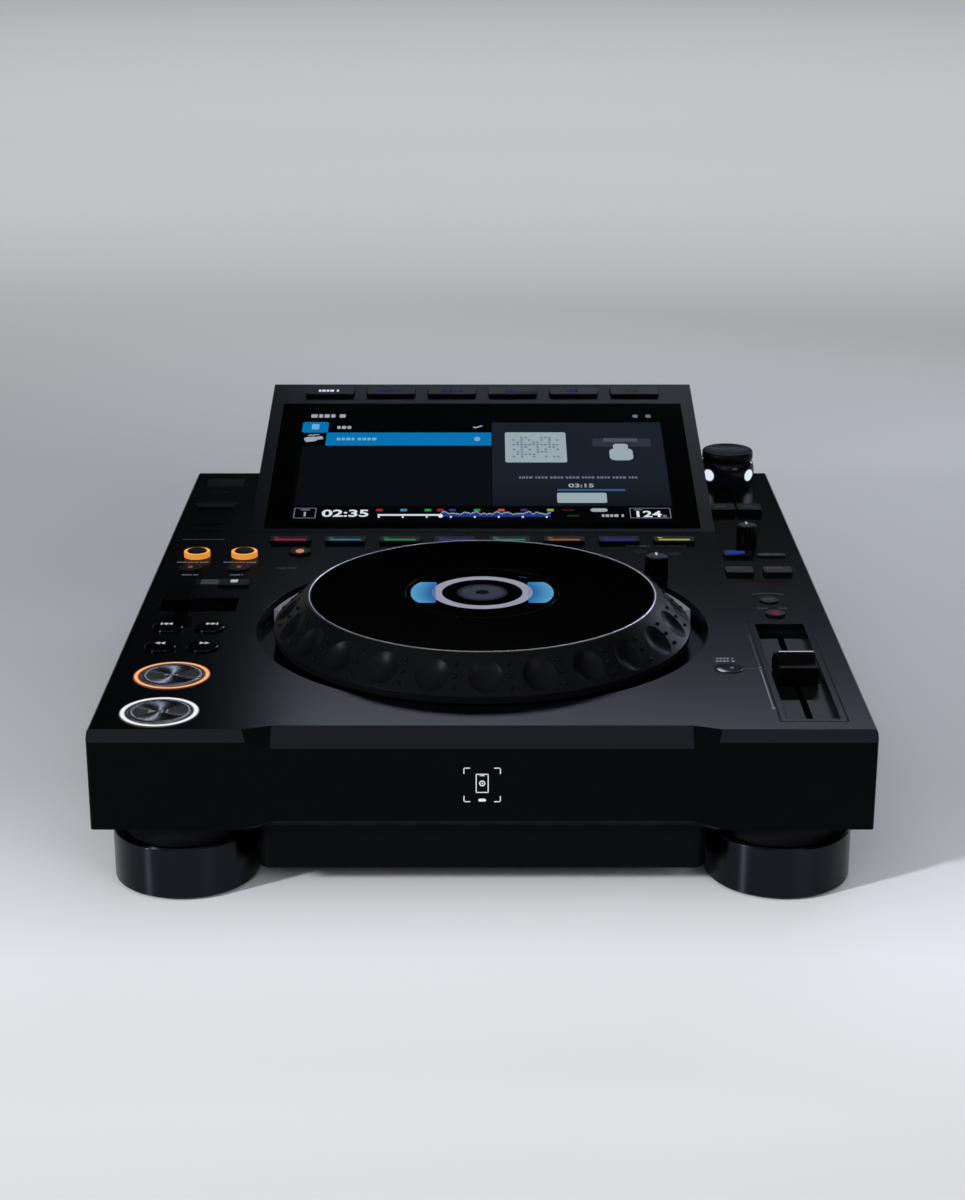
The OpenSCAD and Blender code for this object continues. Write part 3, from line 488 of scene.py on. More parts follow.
def softened(node, width, finish, segments=3):
    """A moulded copy of a plain node, its edges rounded, in the node's place."""
    piece = bpy.data.objects.new(f"{node}_moulding", frame["nodes"][node].data.copy())
    bpy.context.scene.collection.objects.link(piece)
    open_up(piece)
    bpy.ops.mesh.select_all(action="SELECT")
    bpy.ops.mesh.remove_doubles(threshold=WELD)
    bpy.ops.mesh.dissolve_limited(angle_limit=math.radians(0.5))
    close()
    edge = {"width": width * MM, "segments": segments, "limit_method": "ANGLE"}
    take(piece, "BEVEL", angle_limit=math.radians(SMOOTH), **edge)
    bpy.ops.object.shade_smooth_by_angle(angle=math.radians(SMOOTH))
    attach(piece, body_of(node), finish, [node])


def dress(finish, *nodes):
    """Gives plain nodes a finish."""
    for node in nodes:
        for place_for in frame["nodes"][node].material_slots:
            place_for.material = finish


# ---- The finishes of this deck ----

INK = (0.0014, 0.0015, 0.0018)


def around(at):
    """Turning marks: grain that runs round an upright axis."""

    def comb(tree, where):
        radius = from_axis(tree, where, at)
        return place(tree, "ShaderNodeCombineXYZ", {}, {0: radius, 1: radius * 0.37})

    return comb


def level_lines(tree, where):
    """Grain drawn out level, as a brush leaves it round a ring."""
    return place(tree, "ShaderNodeMapping", {}, {"Vector": where, "Scale": (0.03, 0.03, 1.0)})


def painted_slant_sheen(tree, base):
    """Painted sheen: the slanted front edges, facing forward and tilted, are painted a shade paler
    than the flat faces, as if light caught them.
    """
    normal = place(tree, "ShaderNodeNewGeometry", {}, {}, "Normal")
    faced = place(tree, "ShaderNodeSeparateXYZ", {}, {"Vector": normal})
    forward = faced.also("Y") < -0.45
    tilted = abs(faced.also("Z")) > 0.45
    straight = abs(faced) < 0.12
    return blend(tree, forward * tilted * straight, base, (0.0098, 0.0103, 0.0132))


def satin(name, colour, rough, shine, grain, fine, cloud, **more):
    """A black or dark moulding or paint, a little glossy."""
    return coated(name, colour, rough, shine=shine, grain=grain, fine=fine, cloud=cloud, **more)


def bare(name, colour, rough, grain, fine, cloud, **more):
    """A bare metal."""
    return coated(name, colour, rough, metal=1.0, grain=grain, fine=fine, cloud=cloud, **more)


def ink(name, colour, cloud=0.06, shine=0.25):
    """Print on a surface: thin, even, with no paler edges of wear or painted highlight."""
    return satin(name, colour, 0.5, shine, 0.004, 3000, cloud, soft=0.02, worn=0.0)


def lit(name, *shade, **more):
    """A light of a key or of the display."""
    return glowing(f"lit_{name}", *shade, **more)


# Colours as linear light
PLATE_GREY = (0.0011, 0.0013, 0.0018)
BEZEL = (0.0011, 0.0012, 0.0015)
COVER = (0.0025, 0.0027, 0.0032)
GLASS = (0.0006, 0.0007, 0.0009)
WHEEL = (0.0028, 0.003, 0.004)
PITCH = (0.0004, 0.0004, 0.0005)
PAD = (0.0007, 0.0007, 0.0009)
KNOB = (0.0006, 0.0006, 0.0008)
SILVER = (0.42, 0.43, 0.45)
DARK_STEEL = (0.015, 0.0162, 0.0215)

even = {"spread": 0.03, "soft": 0.35, "tint": painted_slant_sheen}
plate_paint = satin("plate_satin_grey", PLATE_GREY, 0.215, 0.06, 0.002, 1900, 0.12, **even)
pan_paint = satin("pan_satin_black", (0.0013, 0.0015, 0.0023), 0.36, 0.1, 0.01, 1500, 0.15)
bezel_black = satin("bezel_satin_black", BEZEL, 0.34, 0.055, 0.01, 1500, 0.15, soft=0.4)
cover_black = satin("rear_cover_black", COVER, 0.45, 0.25, 0.03, 1100, 0.15, soft=0.5)
wheel_satin = satin("wheel_satin_grey", WHEEL, 0.38, 0.1, 0.008, 1500, 0.1, soft=0.25)
key_black = satin("key_satin_black", scaled(INK, 0.8), 0.4, 0.1, 0.006, 2200, 0.15, soft=0.15)
pad_rubber = satin("pad_smoke_black", PAD, 0.42, 0.07, 0.01, 1800, 0.15, soft=0.2)
knob_black = satin("knob_satin_black", KNOB, 0.32, 0.15, 0.006, 2000, 0.15, soft=0.12)
core_rubber = satin("core_rubber", (0.002, 0.0022, 0.0028), 0.6, 0.2, 0.05, 900, 0.2)
track_black = satin("track_satin_black", (0.003, 0.0033, 0.004), 0.34, 0.08, 0.01, 1700, 0.12)
socket_black = satin("socket_black", (0.004, 0.004, 0.0045), 0.45, 0.35, 0.02, 1200, 0.15)
board_green = satin("board_green", (0.012, 0.05, 0.028), 0.4, 0.25, 0.02, 400, 0.25)
pitch_black = satin(
    "key_pitch_black", scaled(INK, 0.4), 0.42, 0.06, 0.006, 2200, 0.2, soft=0.15, worn=0.3
)
key_gloss = satin(
    "key_gloss_black", scaled(INK, 0.4), 0.12, 0.25, 0.0, 200, 0.15, spread=0.03, soft=0.15
)
glass_black = satin(
    "display_glass_black", GLASS, 0.06, 0.3, 0.0, 60, 0.2, spread=0.02, soft=0.15, worn=0.1
)
lacquer_black = satin(
    "lacquer_black", PITCH, 0.05, 0.2, 0.0, 90, 0.2, spread=0.015, soft=0.15, worn=0.1
)

brushing = {"spread": 0.06, "brushed": 1.0, "brush_turn": 0.25, "comb": level_lines}
ring_metal = bare("ring_brushed_dark", DARK_STEEL, 0.25, 0.004, 5200, 0.14, **brushing)
round_jog = around(JOG)
silver = bare(
    "rim_bright_silver", SILVER, 0.3, 0.002, 3000, 0.04, soft=0.1, worn=0.1, comb=round_jog
)
post_silver = bare("post_machined", (0.55, 0.56, 0.58), 0.32, 0.004, 2600, 0.06, comb=round_jog)
supply_zinc = bare("supply_zinc", (0.5, 0.52, 0.53), 0.36, 0.01, 240, 0.2, spread=0.2)
screw_steel = bare("screw_blackened", (0.09, 0.09, 0.095), 0.34, 0.004, 2000, 0.1)

print_white = ink("print_white", tone(205, 209, 216))
print_grey = ink("print_grey", tone(122, 125, 134))
print_dim = ink("print_dim", tone(58, 60, 66), shine=0.2)
print_dark = ink("print_dark", PITCH, 0.1, 0.06)

lit_white = lit("white", 214, 218, 226)
lit_soft = lit("soft_white", 156, 161, 170)
lit_grey = lit("grey", 98, 108, 122)
lit_rose = lit("rose", 124, 62, 62)
lit_blue = lit("blue", 26, 58, 148)

dress(plate_paint, "upper_case")
dress(pan_paint, "lower_case")
dress(bezel_black, "screen_bezel")
dress(cover_black, "screen_rear_cover")
dress(glass_black, "touch_display")
dress(wheel_satin, "jog_wheel")
dress(lacquer_black, "jog_plate", "jog_display")
dress(ring_metal, "foot_rings")
dress(core_rubber, "foot_cores")
dress(post_silver, "jog_post")
dress(board_green, "circuit_boards")
dress(supply_zinc, "power_supply")
dress(track_black, "tempo_track")
dress(screw_steel, "screws")
dress(socket_black, "sockets", "power_switch")
dress(pitch_black, "port_cover")


# ---- Lit rings round the keys and the arc behind the wheel ----

PLAY = middle("play_button")
CUE = middle("cue_button")

# Each lit ring: its key, the colours of its middle, its edges and the ledge beside it, its inner
# and outer radius, and how steeply its light falls off
LOOP_RING = (252, 182, 78), (206, 104, 20), (90, 34, 8), 5.0, 6.9, 1.6
LIT_RINGS = (
    ("play_button", (236, 240, 246), (120, 124, 134), (20, 20, 22), 14.5, 16.7, 3.0),
    ("cue_button", (255, 190, 124), (186, 74, 16), (44, 12, 4), 14.7, 16.7, 1.6),
    ("loop_in_button", *LOOP_RING),
    ("loop_out_button", *LOOP_RING),
)
LEDGE = 1.5


def window_glow(tree, where):
    """White round play, amber round cue and the loop keys, pale grey in the arc."""
    light = tone(78, 82, 92)
    for node, core, edge, shade, inner, outer, power in LIT_RINGS:
        radius = from_axis(tree, where, middle(node))
        off = abs(radius - (inner + outer) / 2 * MM) * (2 / ((outer - inner) * MM))
        ring_light = blend(tree, off.maths("POWER", off, power), tone(*core), tone(*edge))
        ring_light = blend(tree, off > 1.0, ring_light, tone(*shade))
        light = blend(tree, radius < (outer + LEDGE) * MM, light, ring_light)
    return light


dress(glowing("window_light", 230, 200, 170, glow=window_glow, rough=0.3), "light_windows")


# ---- Play and cue caps, spun from metal ----

# A cap's radius, and the height of the middle of its face
CAP = 13.6
CAP_FACE = PLATE + 0.66


def spun_cap(node, name):
    at = middle(node)
    piece = blank(f"{name}_cap")
    face = [(0, 0.62), (CAP * 0.45, 0.66), (CAP - 2.6, 0.8), (CAP - 2.0, 0.86)]
    edge = [(CAP - 1.7, 0.98), (CAP - 1.3, 1.0), (CAP - 0.35, 0.8), (CAP, 0.45), (CAP, -3.3)]
    flange = [(CAP + 1.3, -3.3), (CAP + 1.3, -4.5), (1.6, -4.5)]
    stem = [(1.6, -6.3), (0, -6.3)]
    turned((at.x, at.y, PLATE), face + edge + flange + stem, steps=128)
    close(30)
    spun = {"spread": 0.06, "soft": 0.1, "worn": 0.2, "brushed": 0.95, "comb": around(at)}
    finish = bare(f"{name}_spun_metal", (0.17, 0.175, 0.19), 0.3, 0.0, 2600, 0.05, **spun)
    attach(piece, body_of(node), finish, [node])


spun_cap("play_button", "play")
spun_cap("cue_button", "cue")


def play_and_pause():
    x, y, z = PLAY.x, PLAY.y, CAP_FACE
    outline([(x - 4.6, y - 1.9), (x - 1.4, y), (x - 4.6, y + 1.9)], z)
    bar(x + 1.2, y, 0.9, 3.8, z)
    bar(x + 3.4, y, 0.9, 3.8, z)


printed("play_symbol", play_and_pause, print_grey, "play_button")
printed("cue_mark", lambda: wording(CUE.x, CUE.y, 6.5, 1.7, CAP_FACE), print_grey, "cue_button")


# ---- Moulded keys ----

ROUND_GLOSS = ("track_back", "track_forward", "search_back", "search_forward", "tempo_reset")
ROUND_SATIN = ("loop_in", "loop_out", "short_beat", "long_beat", "memory")
for keys, width, finish, segments in (
    (ROUND_GLOSS, 0.55, key_gloss, 4),
    ((*ROUND_SATIN, "tempo_range", "master_tempo"), 0.35, key_black, 3),
    (("slip", "jog_mode", "key", "sync", "master"), 0.4, key_black, 3),
    (("port_stop", "back", "tag"), 0.4, pitch_black, 3),
):
    for key in keys:
        softened(f"{key}_button", width, finish, segments=segments)
for number in range(1, 9):
    softened(f"hot_cue_pad_{number}", 0.45, pad_rubber)
for number in range(1, 7):
    softened(f"menu_key_{number}", 0.35, key_black)
softened("direction_lever", 0.6, pitch_black, segments=4)
softened("tempo_slider", 0.45, pitch_black)


def on_key(node, name, draw, finish):
    """Marks drawn round the middle of a key's top; they move with the key."""
    at = middle(node)
    printed(f"{node}_{name}", lambda: draw(at.x, at.y, at.z), finish, body_of(node), 0.04)


def arrows(ways, stop):
    """Two arrow heads that point one way, with a stop bar at their tip or without."""
    size = 2.9

    def draw(x, y, z):
        y += 3
        for step in (-1, 0):
            base = x + ways * (step * size * 0.82 + size * 0.18)
            tip = base + ways * size * 0.82
            points = [(base, y - size * 0.55), (tip, y), (base, y + size * 0.55)]
            outline(points if ways > 0 else points[::-1], z)
        if stop:
            bar(x + ways * (size * 1.14), y, size * 0.22, size * 1.1, z)

    return draw


def spot(radius, deep, across=0.0, up=0.0):
    return lambda x, y, z: disc(x + across, y + up, radius, z, deep=deep)


def block(wide, deep, corner, across=0.0, up=0.0):
    return lambda x, y, z: bar(x + across, y + up, wide, deep, z, corner)


def words(wide, deep, beat=0, up=0.0):
    return lambda x, y, z: wording(x, y + up, wide, deep, z, beat)


for node, name, draw, finish, slot in (
    ("track_back", "symbol", arrows(-1, True), print_white, None),
    ("track_forward", "symbol", arrows(1, True), print_white, None),
    ("search_back", "symbol", arrows(-1, False), print_white, None),
    ("search_forward", "symbol", arrows(1, False), print_white, None),
    ("short_beat", "light", spot(1.3, 1.5), lit_rose, LIGHT),
    ("long_beat", "light", spot(1.3, 1.5), lit_rose, LIGHT),
    ("memory", "light", spot(2.2, 1.5, up=-1), lit("amber", 196, 128, 84), LIGHT),
    ("slip", "mark", block(3.6, 4.2, 0.5, up=1.6), print_white, None),
    ("jog_mode", "light", block(9.6, 3.8, 0.8, -1, 0.3), lit_blue, LIGHT),
    ("key", "label", words(11.5, 1.6), print_dim, None),
    ("sync", "label", words(8.2, 2.4, 1, 2.2), lit("ash", 62, 63, 66), LIGHT),
    ("master", "label", words(11.0, 2.4, 2, 2.2), lit("ochre", 84, 66, 26), LIGHT),
    ("master_tempo", "light", spot(1.9, 1.5), lit("cherry", 120, 28, 52), LIGHT),
    ("tempo_range", "label", words(5.0, 1.2), print_dim, None),
    ("back", "label", words(7.6, 1.6), print_dim, None),
    ("tag", "label", words(7.6, 1.6, 1), print_dim, None),
    ("tempo_reset", "dot", spot(0.8, 1.4, 1.4, 0.6), lit_grey, LIGHT),
):
    on_key(f"{node}_button", name, draw, finish)

PAD_SHADES = (
    ("magenta", 156, 20, 66),
    ("cyan", 36, 116, 134),
    ("green", 34, 132, 68),
    ("purple", 68, 46, 136),
    ("teal", 32, 132, 96),
    ("orange", 146, 88, 32),
    ("blue", 36, 44, 144),
    ("yellow", 152, 160, 46),
)
for number, (name, *shade) in enumerate(PAD_SHADES, 1):
    light = glowing(f"pad_{name}", *shade)
    on_key(f"hot_cue_pad_{number}", "light", block(16.4, 2.6, 0.6, up=-1.8), light)
    on_key(f"hot_cue_pad_{number}", "sign", block(2.6, 1.5, 0.3, -7.4, 1.6), light)

MENU_LIGHTS = [lit_white, *[lit("violet", 30, 28, 84)] * 4, lit("coal", 48, 48, 50)]
MENU_WIDTHS = [13.5, 13.5, 13.5, 8.5, 8.5, 11.0]
# How far up the slope the menu keys' labels are, and how far out of it
MENU_RUN = (BEZEL_HIGH.y - BEZEL_LOW.y) / math.cos(SLOPE) - 11.5
MENU_RISE = 1.6
for number, (light, wide) in enumerate(zip(MENU_LIGHTS, MENU_WIDTHS), 1):
    key = f"menu_key_{number}"
    label = middle(key).x, MENU_RUN, wide, 2.6, MENU_RISE, number
    printed(f"{key}_label", lambda: wording(*label), light, key, 0.04, sloped=True)


# ---- Knobs ----


def fluted_knob(node, name, radius, low, high, flutes, shaft):
    """A moulded knob with pressed-in flutes, a domed top and its shaft."""
    at = middle(node)
    foot = reach(node)[0].z
    piece = blank(name)
    dome = [(0, high - 0.15), (radius * 0.55, high), (radius * 0.82, high)]
    shoulder = [(radius * 0.94, high - 0.5), (radius * 0.97, high - 1.4)]
    side = [(radius * 0.985, (low + high) / 2), (radius, low + 1.0), (radius, low)]
    stem = [(shaft, low), (shaft, foot), (0, foot)]
    turned((at.x, at.y, 0), dome + shoulder + side + stem, steps=flutes * 4)
    form = bmesh.from_edit_mesh(piece.data)
    for corner in form.verts:
        flat = Vector((corner.co.x - at.x * MM, corner.co.y - at.y * MM))
        away = flat.length / MM
        turn = math.degrees(math.atan2(flat.y, flat.x)) / (360 / flutes)
        near = abs(turn - round(turn))
        if radius * 0.95 < away < radius * 1.001 and corner.co.z < (high - 1.0) * MM:
            pull = 1 - 0.075 * (near < 0.3)
            corner.co.x = at.x * MM + flat.x * pull
            corner.co.y = at.y * MM + flat.y * pull
    bmesh.update_edit_mesh(piece.data)
    close(30)
    attach(piece, body_of(node), knob_black, [node])
    return at


KNOB_LOW, ADJUST_TOP, SPEED_TOP = PLATE + 0.4, PLATE + 12.0, PLATE + 11.8
ADJUST = fluted_knob("jog_adjust_knob", "jog_adjust_grip", 5.3, KNOB_LOW, ADJUST_TOP, 18, 2.5)
SPEED = fluted_knob("vinyl_speed_knob", "vinyl_speed_grip", 5.8, KNOB_LOW, SPEED_TOP, 20, 2.0)
printed(
    "jog_adjust_pointer",
    lambda: bar(ADJUST.x, ADJUST.y + 2.8, 0.9, 4.2, ADJUST_TOP, 0.2),
    print_white,
    "jog_adjust_knob",
)
printed(
    "vinyl_speed_pointer",
    lambda: bar(SPEED.x, SPEED.y + 3.0, 1.0, 4.6, SPEED_TOP, 0.2),
    print_white,
    "vinyl_speed_knob",
)


def selector():
    """The turning selector: a satin cap on a clear glossy bulb, with four painted reflections that
    glow on the bulb.
    """
    at = middle("rotary_selector")
    foot = reach("rotary_selector")[0].z
    top = at.z
    low = PLATE + 0.8
    neck = top - 5.2
    middle_height, half = (low + neck) / 2, (neck - low) / 2
    cap = blank("selector_cap")
    dish = [(0, top - 1.7), (6.0, top - 1.6), (10.6, top - 1.1), (12.4, top - 0.3)]
    lip = [(13.1, top), (13.8, top - 0.25), (14.2, top - 1.0)]
    side = [(14.3, top - 4.4), (13.9, top - 4.9), (12.2, neck)]
    stem = [(3.0, neck), (3.0, foot), (0, foot)]
    turned((at.x, at.y, 0), dish + lip + side + stem, steps=120)
    close(50)
    attach(cap, "rotary_selector", key_black, ["rotary_selector"])
    bulb = blank("selector_bulb")
    bulge = []
    for step in range(11):
        a = math.radians(80 - step * 16)
        bulge.append((12.4 + 2.9 * math.cos(a), middle_height + half * math.sin(a)))
    turned((at.x, at.y, 0), [(0, neck), (12.2, neck), *bulge, (12.2, low), (0, low)], steps=120)
    close(50)

    # Painted reflections: pale glowing patches left and right on the bulb's front and back stand
    # in for lamps seen in it; nothing inside lights them
    def painted_reflection_glow(tree, where):
        split = place(tree, "ShaderNodeSeparateXYZ", {}, {"Vector": where})
        across = (abs(split - at.x * MM) - 11.2 * MM) * (1 / (2.6 * MM))
        up = (split.also("Z") - (middle_height - 0.4) * MM) * (1 / (3.4 * MM))
        off = across * across + up * up
        return blend(tree, eased(tree, off, 1.15, 0.7), tone(3, 4, 8), tone(226, 234, 250))

    painted_reflection_finish = glowing("selector_bulb_painted_reflections", 3, 4, 8, glow=painted_reflection_glow)
    attach(bulb, "rotary_selector", painted_reflection_finish)


selector()


# ---- Jog wheel: bright rim, the nubs between its dimples, and its centre display ----


def rim():
    piece = blank("jog_rim_bright")
    inner, foot = 80.35, 15.2
    crown = [(80.6, 16.0), (81.0, 16.05), (81.4, 15.85), (81.6, 15.4), (81.5, foot)]
    profile = [(inner, 15.75), *crown, (inner, foot), (inner, 15.75)]
    turned((JOG.x, JOG.y, PLATE), profile, steps=192)
    close(40)
    attach(piece, "jog", silver)


rim()

# Radius and height of the skirt's lower and upper edge
SKIRT_LOW, SKIRT_HIGH = Vector((97.6, 1.2)), Vector((83.6, 14.5))
DIMPLES = 24
NUB = 0.95


def nubs():
    """Three small raised dots down the skirt between each two dimples."""
    piece = blank("jog_nubs")
    for number in range(DIMPLES):
        for share in (0.2, 0.5, 0.8):
            out, up = SKIRT_HIGH + (SKIRT_LOW - SKIRT_HIGH) * share
            a = math.radians((number + 0.5) * 360 / DIMPLES)
            at = Vector((JOG.x + out * math.cos(a), JOG.y + out * math.sin(a), PLATE + up)) * MM
            bpy.ops.mesh.primitive_uv_sphere_add(
                segments=10, ring_count=6, radius=NUB * MM, location=at
            )
    close(60)
    attach(piece, "jog", wheel_satin)


nubs()

DISPLAY_TOP = reach("jog_display")[1].z
WING_ARC = 62


def jog_share(tree, where, start, run):
    """0 at a radius round the wheel's axis, and 1 a run further out."""
    return (from_axis(tree, where, JOG) - start * MM) * (1 / (run * MM))


def disc_glow(tree, where):
    return blend(tree, jog_share(tree, where, 8.5, 3.5), tone(52, 57, 69), tone(20, 22, 27))


def wing_glow(tree, where):
    return blend(tree, jog_share(tree, where, 22, 11), tone(4, 62, 132), tone(84, 150, 186))


def wings():
    """Two lit fields, left and right of the ring, each with a bowed outer side."""
    for side in (-1, 1):
        points = [(side * 21.4, -13.8), (side * 22.0, -15)]
        for step in range(9):
            a = math.radians(step * 15.5 - WING_ARC)
            up = 15 * math.sin(a) / math.sin(math.radians(WING_ARC))
            points.append((side * (25.5 + 8.0 * math.cos(a)), up))
        points += [(side * 22.0, 15), (side * 21.4, 13.8)]
        points = [(JOG.x + x, JOG.y + y) for x, y in points]
        outline(points if side > 0 else points[::-1], DISPLAY_TOP)


slate_disc = glowing("disc_slate", 44, 49, 60, glow=disc_glow)
for name, draw, finish in (
    ("ring", lambda x, y, z: band(x, y, 23.7, 18.9, z), glowing("ring_lavender", 146, 148, 164)),
    ("disc", lambda x, y, z: disc(x, y, 12.0, z, 64), slate_disc),
    ("spot", lambda x, y, z: disc(x, y, 3.2, z + 0.06), glowing("disc_middle", 12, 16, 26)),
    ("wings", lambda x, y, z: wings(), glowing("wing_blue", 20, 170, 240, glow=wing_glow)),
    (
        "tick",
        lambda x, y, z: bar(x + 19.5, y + 22.5, 4.4, 1.2, z, 0.3, -22),
        glowing("tick_blue", 10, 44, 96),
    ),
):
    printed(f"jog_display_{name}", lambda: draw(JOG.x, JOG.y, DISPLAY_TOP), finish)


# ---- What is printed or lit on the plate ----

# Each label: its place across and front to back, its width and height, and where its row of
# blocks starts
GREY_LABELS = (
    (left(18.3), 209.8, 8.6, 1.4, 0),
    (left(42.0), 209.8, 7.6, 1.4, 1),
    (left(17.5), 230.4, 16.9, 1.4, 2),
    (left(41.6), 230.4, 18, 1.4, 0),
    (109.6, 85.9, 9.3, 1.7, 0),
    (109.6, 89.3, 8.3, 1.7, 1),
)
DIM_LABELS = (
    (left(66.1), 220.8, 11.2, 1.4, 1),
    (left(18.0), 269.3, 22.2, 1.4, 0),
    (81.3, 258, 13.1, 1.4, 0),
    (98.6, 258, 16.3, 1.4, 1),
    (135.1, 158.7, 6.1, 1.4, 0),
    (144.2, 158.7, 3.9, 1.4, 2),
)


def labels(rows):
    for x, d, wide, tall, beat in rows:
        wording(x, ahead(d), wide, tall, PLATE, beat)


def dim_marks():
    labels(DIM_LABELS)
    bar(left(29.3), ahead(198.8), 9.0, 7.4, PLATE, 0.6)


printed("plate_print_grey", lambda: labels(GREY_LABELS), print_grey)
printed("plate_print_dim", dim_marks, print_dim)


def dark_marks():
    z = PLATE
    bar(left(16.8), ahead(341.4), 23.4, 0.7, z)
    bar(left(17.4), ahead(335.8), 23.0, 4.6, z, 0.4)
    bar(left(23.2), ahead(198.8), 2.6, 8.6, z, 0.4)
    bar(left(17.0), ahead(359), 7.9, 2.4, z, 0.4)
    disc(81.8, ahead(248.4), 3.4, z, deep=0.8)
    disc(99.2, ahead(244.4), 3.9, z, deep=0.8)
    for y in (-92.2, -118.7):
        bar(-147.2, y, 14.0, 1.0, z)


printed("plate_print_dark", dark_marks, print_dark)


def slim_bars():
    bar(left(16.6), ahead(296.8), 14.3, 3.0, PLATE, 1.2)
    bar(left(17.6), ahead(284.2), 14.7, 3.0, PLATE, 1.2)


printed("plate_slim_windows", slim_bars, lacquer_black, thick=0.12)


def frame_lines():
    """The thin printed frame round the sync and master keys, and that of the tempo track."""
    z = PLATE
    for x in (121.7, 157.3):
        bar(x, ahead(211.8), 0.5, 33.5, z)
    for y in (195.2, 228.4):
        bar(139.5, ahead(y), 36.0, 0.5, z)
    low, high = reach("tempo_track")
    for x in (low.x - 0.5, high.x + 0.5):
        bar(x, (low.y + high.y) / 2, 0.9, high.y - low.y + 1.8, z)
    for y in (low.y - 0.5, high.y + 0.5):
        bar((low.x + high.x) / 2, y, high.x - low.x + 1.8, 0.9, z)


printed("plate_frame_lines", frame_lines, print_dark)
printed(
    "plate_sync_window",
    lambda: bar(139.0, ahead(200.5), 19.7, 4.2, PLATE, 0.8),
    lit("ember", 34, 10, 18),
)
printed(
    "plate_sync_arc",
    lambda: band(139.5, ahead(166.5), 15.0, 14.4, PLATE, 58, 64, 24),
    print_dim,
)

# Where the line of the tempo scale is
SCALE = 123.9


def tempo_marks():
    bar(SCALE, ahead(52), 0.5, 47, PLATE)
    for d, radius in ((77.8, 0.7), (74.8, 0.7), (28.5, 0.9)):
        disc(SCALE, ahead(d), radius, PLATE, 20)


def tempo_line():
    bar(SCALE, ahead(100), 0.4, 44, PLATE)
    bar(118.6, ahead(76.3), 8.4, 0.35, PLATE)


printed("plate_tempo_scale", tempo_marks, print_grey)
printed("plate_tempo_line", tempo_line, print_dim)

SLIDER = middle("tempo_slider")
printed(
    "tempo_slider_line",
    lambda: bar(SLIDER.x, SLIDER.y, 15.6, 0.9, SLIDER.z, 0.2),
    print_white,
    "tempo_slider",
)


# ---- Reading mark on the front face ----


def stood_up(name, draw, finish, face, height, facing=-1, thick=0.25):
    """Flat work drawn level, then stood up on a face: 1 looks to the front, -1 to the back."""
    piece = blank(name)
    draw()
    close()
    thickened(piece, thick)
    at = Matrix.Translation(Vector((0, face, height)) * MM)
    piece.data.transform(at @ Matrix.Rotation(facing * math.pi / 2, 4, "X"))
    attach(piece, "chassis", finish)


BRACKET = 7.6
LINE = 0.42
HANDSET_UP = 0.7


def front_mark():
    """Corner brackets round a plain handset outline."""
    for side in (-1, 1):
        for rise in (-1, 1):
            x, y = side * BRACKET, rise * BRACKET
            bar(x - side * 1.5, y, 2.2, LINE, 0)
            bar(x, y - rise * 1.5, LINE, 2.2, 0)
            bar(x - side * 0.2, y - rise * 0.2, 0.9, LINE, 0, turn=-side * rise * 45)
    for x in (-2.5, 2.5):
        bar(x, HANDSET_UP, 0.4, 8.2, 0)
    for y in (-3.4, 4.8):
        bar(0, y, 5.4, 0.4, 0)
    bar(0, 4.2, 2.0, 0.4, 0)
    band(0, HANDSET_UP, 1.3, 0.85, 0, steps=32)
    disc(0, HANDSET_UP, 0.35, 0, 16)
    bar(0, -6.9, 3.2, 1.3, 0, 0.6)


stood_up("front_reading_mark", front_mark, print_white, CASE_LOW.y, PLATE - 23.05, 1, 0.03)


# ---- Metal parts of the sockets, and the print beside them ----

SOCKET_Z = CASE_LOW.z + (CASE_HIGH.z - CASE_LOW.z) / 2
JACK_FACE = reach("sockets")[1].y
# Places across of the audio jacks, and the two data sockets with their widths and heights
JACKS = (86, 104, 122)
DATA_SOCKETS = ((20, 11.8, 8.0), (52, 8.4, 7.6))
BACK_LABELS = ((-95, 9), (20, 12), (52, 8), *((x, 9) for x in JACKS))
FRAME = 1.0


def ring_at(x, outer, inner):
    band(x, 0, outer, inner, 0, steps=48)


def jack_rings():
    for x in JACKS:
        ring_at(x, 4.2, 3.2)


def socket_frames():
    for x, wide, tall in DATA_SOCKETS:
        for side in (-1, 1):
            bar(x + side * (wide / 2 + FRAME / 2), 0, FRAME, tall + 2 * FRAME, 0, 0.2)
            bar(x, side * (tall / 2 + FRAME / 2), wide, FRAME, 0)


def back_words():
    for x, wide in BACK_LABELS:
        wording(x, -14.5, wide, 1.5, 0, abs(x))


stood_up("socket_metal_rings", jack_rings, post_silver, JACK_FACE, SOCKET_Z)
stood_up("socket_metal_frames", socket_frames, post_silver, CASE_HIGH.y + 0.4, SOCKET_Z)
for x, shade in zip(JACKS, ((0.35, 0.02, 0.02), (0.6, 0.6, 0.58), (0.5, 0.16, 0.02))):
    name = f"jack_insert_{x}"
    insert = coated(name, shade, 0.4, grain=0.004, fine=2000, cloud=0.08)
    stood_up(name, lambda: ring_at(x, 3.15, 1.75), insert, JACK_FACE, SOCKET_Z, thick=0.15)
stood_up("back_print", back_words, print_grey, CASE_HIGH.y, SOCKET_Z, thick=0.03)


# ---- Picture on the touch display, drawn across and up the slope ----


def shown(name, draw, finish, level):
    """One layer of the display's picture, each level a little above the one before."""
    z = level * 0.08 - 0.15
    printed(f"display_{name}", lambda: draw(z), finish, thick=0.1, sloped=True)


def slate_glow(tree, where):
    """The side panel darkens a little towards its foot."""
    height = place(tree, "ShaderNodeSeparateXYZ", {}, {"Vector": where}).also("Y")
    low = (BEZEL_LOW.y + 28 * math.cos(SLOPE)) * MM
    inputs = {"Value": height, "From Min": low, "From Max": low + 0.03}
    share = place(tree, "ShaderNodeMapRange", {}, inputs)
    return blend(tree, share, tone(17, 22, 29), tone(25, 31, 40))


def blue_row(z):
    bar(-42, 106.2, 94.4, 15.8, z, 0.4)
    bar(-96.1, 120.7, 14.9, 13.0, z, 1.6)


